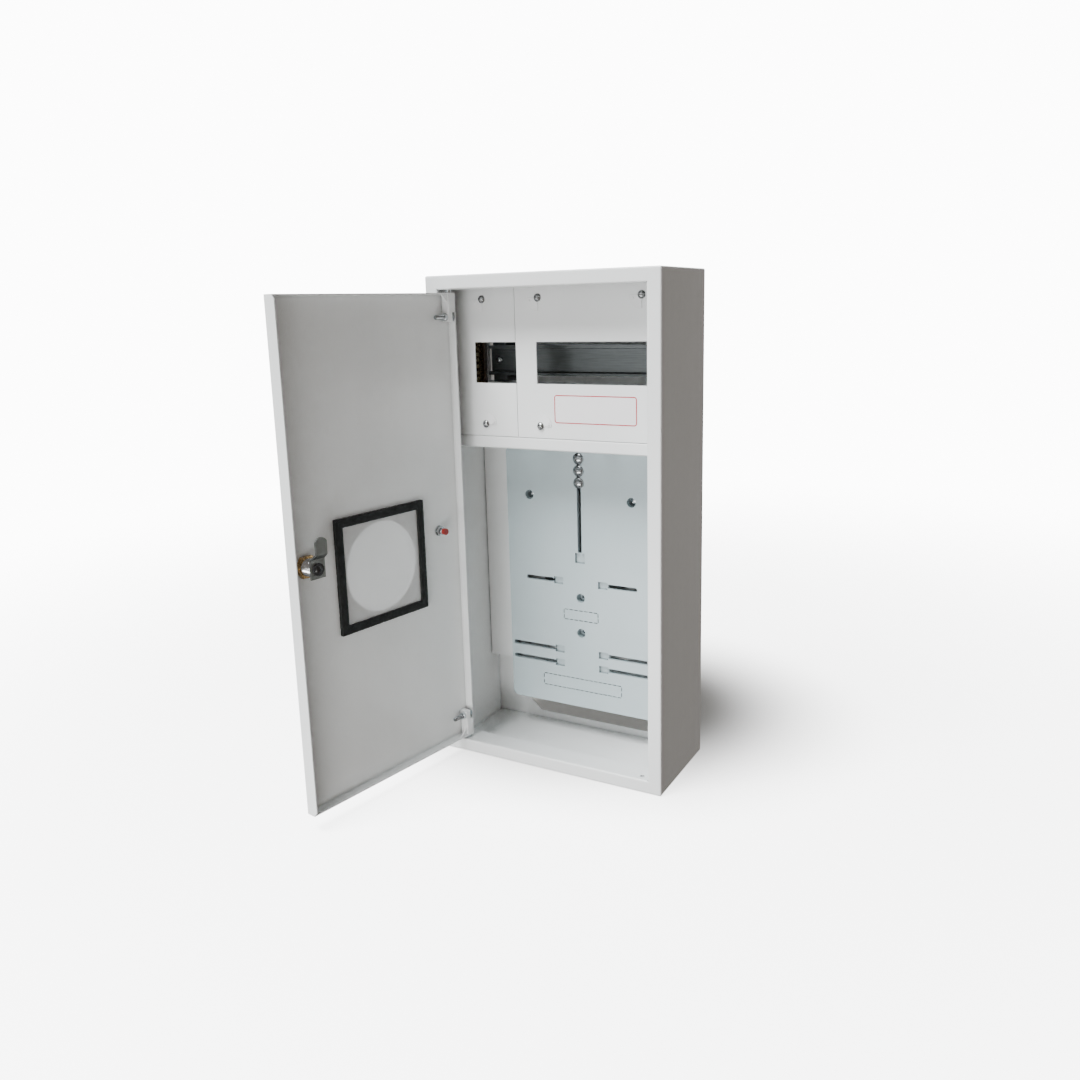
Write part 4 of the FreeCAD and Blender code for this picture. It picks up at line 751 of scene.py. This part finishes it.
def paper_material(name):
    """White paper that shines more away from the part and is painted grey as shadow in the patches.
    """
    material, tree, shader = new_material(name)
    coordinates = add_node(tree, "ShaderNodeTexCoord").outputs["Object"]
    outward = length_of(tree, coordinates)
    lit = None
    for centre, half, turn, end in FLOOR_PAINTED_SHADOWS:
        around = distance_from_shade(tree, coordinates, centre, half, turn)
        edge = smooth_step(tree, around, FLOOR_SHADE_START, end, 0.0, 1.0)
        lit = edge if lit is None else calculate(tree, "MULTIPLY", lit, edge)
    shine = smooth_step(tree, outward, FLOOR_NEAR, FLOOR_FAR, FLOOR_SHINE_NEAR, FLOOR_SHINE_FAR)
    shine = calculate(tree, "ADD", calculate(tree, "MULTIPLY", shine, lit),
                      spread(tree, lit, FLOOR_SHADE_SHINE, 0.0))
    paper = tone(tree, smooth_step(tree, outward, FLOOR_NEAR, FLOOR_FAR, 0.0, 1.0), WHITE,
                 first=FLOOR_PAPER, last=0.0, start=0.0, end=1.0)
    # Painted shadow: inside the patches the paper takes the grey colour instead of white
    mix = add_node(tree, "ShaderNodeMix", data_type="RGBA")
    tree.links.new(lit, mix.inputs["Factor"])
    mix.inputs[MIX_FIRST].default_value = (*FLOOR_PAINTED_SHADOW_GREY, 1.0)
    tree.links.new(paper, mix.inputs[MIX_SECOND])
    set_color(tree, shader, mix.outputs[MIX_RESULT])
    shader.inputs["Roughness"].default_value = FLOOR_ROUGHNESS
    shader.inputs["Specular IOR Level"].default_value = 0.0
    shader.inputs["Emission Color"].default_value = (*WHITE, 1.0)
    tree.links.new(shine, shader.inputs["Emission Strength"])
    return material


def make_floor():
    """Round floor that runs into a bowl far behind it, so no horizon shows."""
    ground = CAD_BOX[0].z - FLOOR_GAP
    span = FLOOR_FLAT + BOWL_RISE
    rows = [(ground, 0.0), (ground, FLOOR_MIDDLE), (ground, FLOOR_FLAT)]
    for step in range(1, BOWL_STEPS + 1):
        angle = math.radians(step * 180.0 / BOWL_STEPS)
        if angle < math.pi / 2:
            rows.append((ground + BOWL_RISE * (1 - math.cos(angle)),
                         FLOOR_FLAT + BOWL_RISE * math.sin(angle)))
        else:
            rows.append((ground + BOWL_RISE - span * math.cos(angle), span * math.sin(angle)))
    work = bmesh.new()
    lathe(work, lambda z, a, b: Vector((a, b, z)), rows, BOWL_SIDES)
    bmesh.ops.remove_doubles(work, verts=work.verts, dist=MERGE_DISTANCE)
    floor = add_mesh("floor", work, paper_material("floor_paper"))
    seen_by_camera_only(floor)


def area_light(name, place, target, size, power, tint):
    light = bpy.data.lights.new(name, "AREA")
    light.shape = "RECTANGLE"
    light.size, light.size_y = size
    light.energy = power
    light.color = tint
    holder = bpy.data.objects.new(name, light)
    holder.location = place
    aim = Vector(target) - Vector(place)
    holder.rotation_euler = aim.to_track_quat("-Z", "Y").to_euler()
    bpy.context.scene.collection.objects.link(holder)


def make_world():
    """Soft surround, brighter in front and in a place behind at the left, warmer at the right."""
    world = bpy.data.worlds.new("studio")
    bpy.context.scene.world = world
    world.use_nodes = True
    tree = world.node_tree
    background = tree.nodes["Background"]
    direction = add_node(tree, "ShaderNodeTexCoord").outputs["Generated"]

    def lean_to(axis):
        node = add_node(tree, "ShaderNodeVectorMath", operation="DOT_PRODUCT")
        node.inputs[1].default_value = axis
        tree.links.new(direction, node.inputs[0])
        return node.outputs["Value"]

    total = None
    for axis, start, end, dim, bright in SURROUND:
        part = smooth_step(tree, lean_to(axis), start, end, dim, bright)
        total = part if total is None else calculate(tree, "ADD", total, part)
    warm_axis, warm_start, warm_end = SURROUND_WARMING
    side = smooth_step(tree, lean_to(warm_axis), warm_start, warm_end, 0.0, 1.0)
    tint = ramp(tree, side, [(0.0, SURROUND_COOL), (1.0, SURROUND_WARM)])
    tree.links.new(tint, background.inputs["Color"])
    tree.links.new(total, background.inputs["Strength"])


def make_camera():
    data = bpy.data.cameras.new("camera")
    data.sensor_width = CAMERA_SENSOR
    data.lens = CAMERA_LENS
    data.shift_x, data.shift_y = CAMERA_SHIFT
    camera = bpy.data.objects.new("camera", data)
    turn = Matrix.Rotation(math.radians(CAMERA_AZIMUTH), 4, "Z")
    tilt = Matrix.Rotation(math.radians(90 - CAMERA_ELEVATION), 4, "X")
    roll = Matrix.Rotation(math.radians(CAMERA_ROLL), 4, "Z")
    camera.matrix_world = Matrix.Translation(CAMERA_PLACE) @ turn @ tilt @ roll
    bpy.context.scene.collection.objects.link(camera)
    bpy.context.scene.camera = camera


dress_cad_nodes()
make_hinge_bolts()
make_door_stud()
make_lock_barrel()
make_gasket()
make_label()
make_world()
make_floor()
make_camera()
for light in LIGHTS:
    area_light(*light)
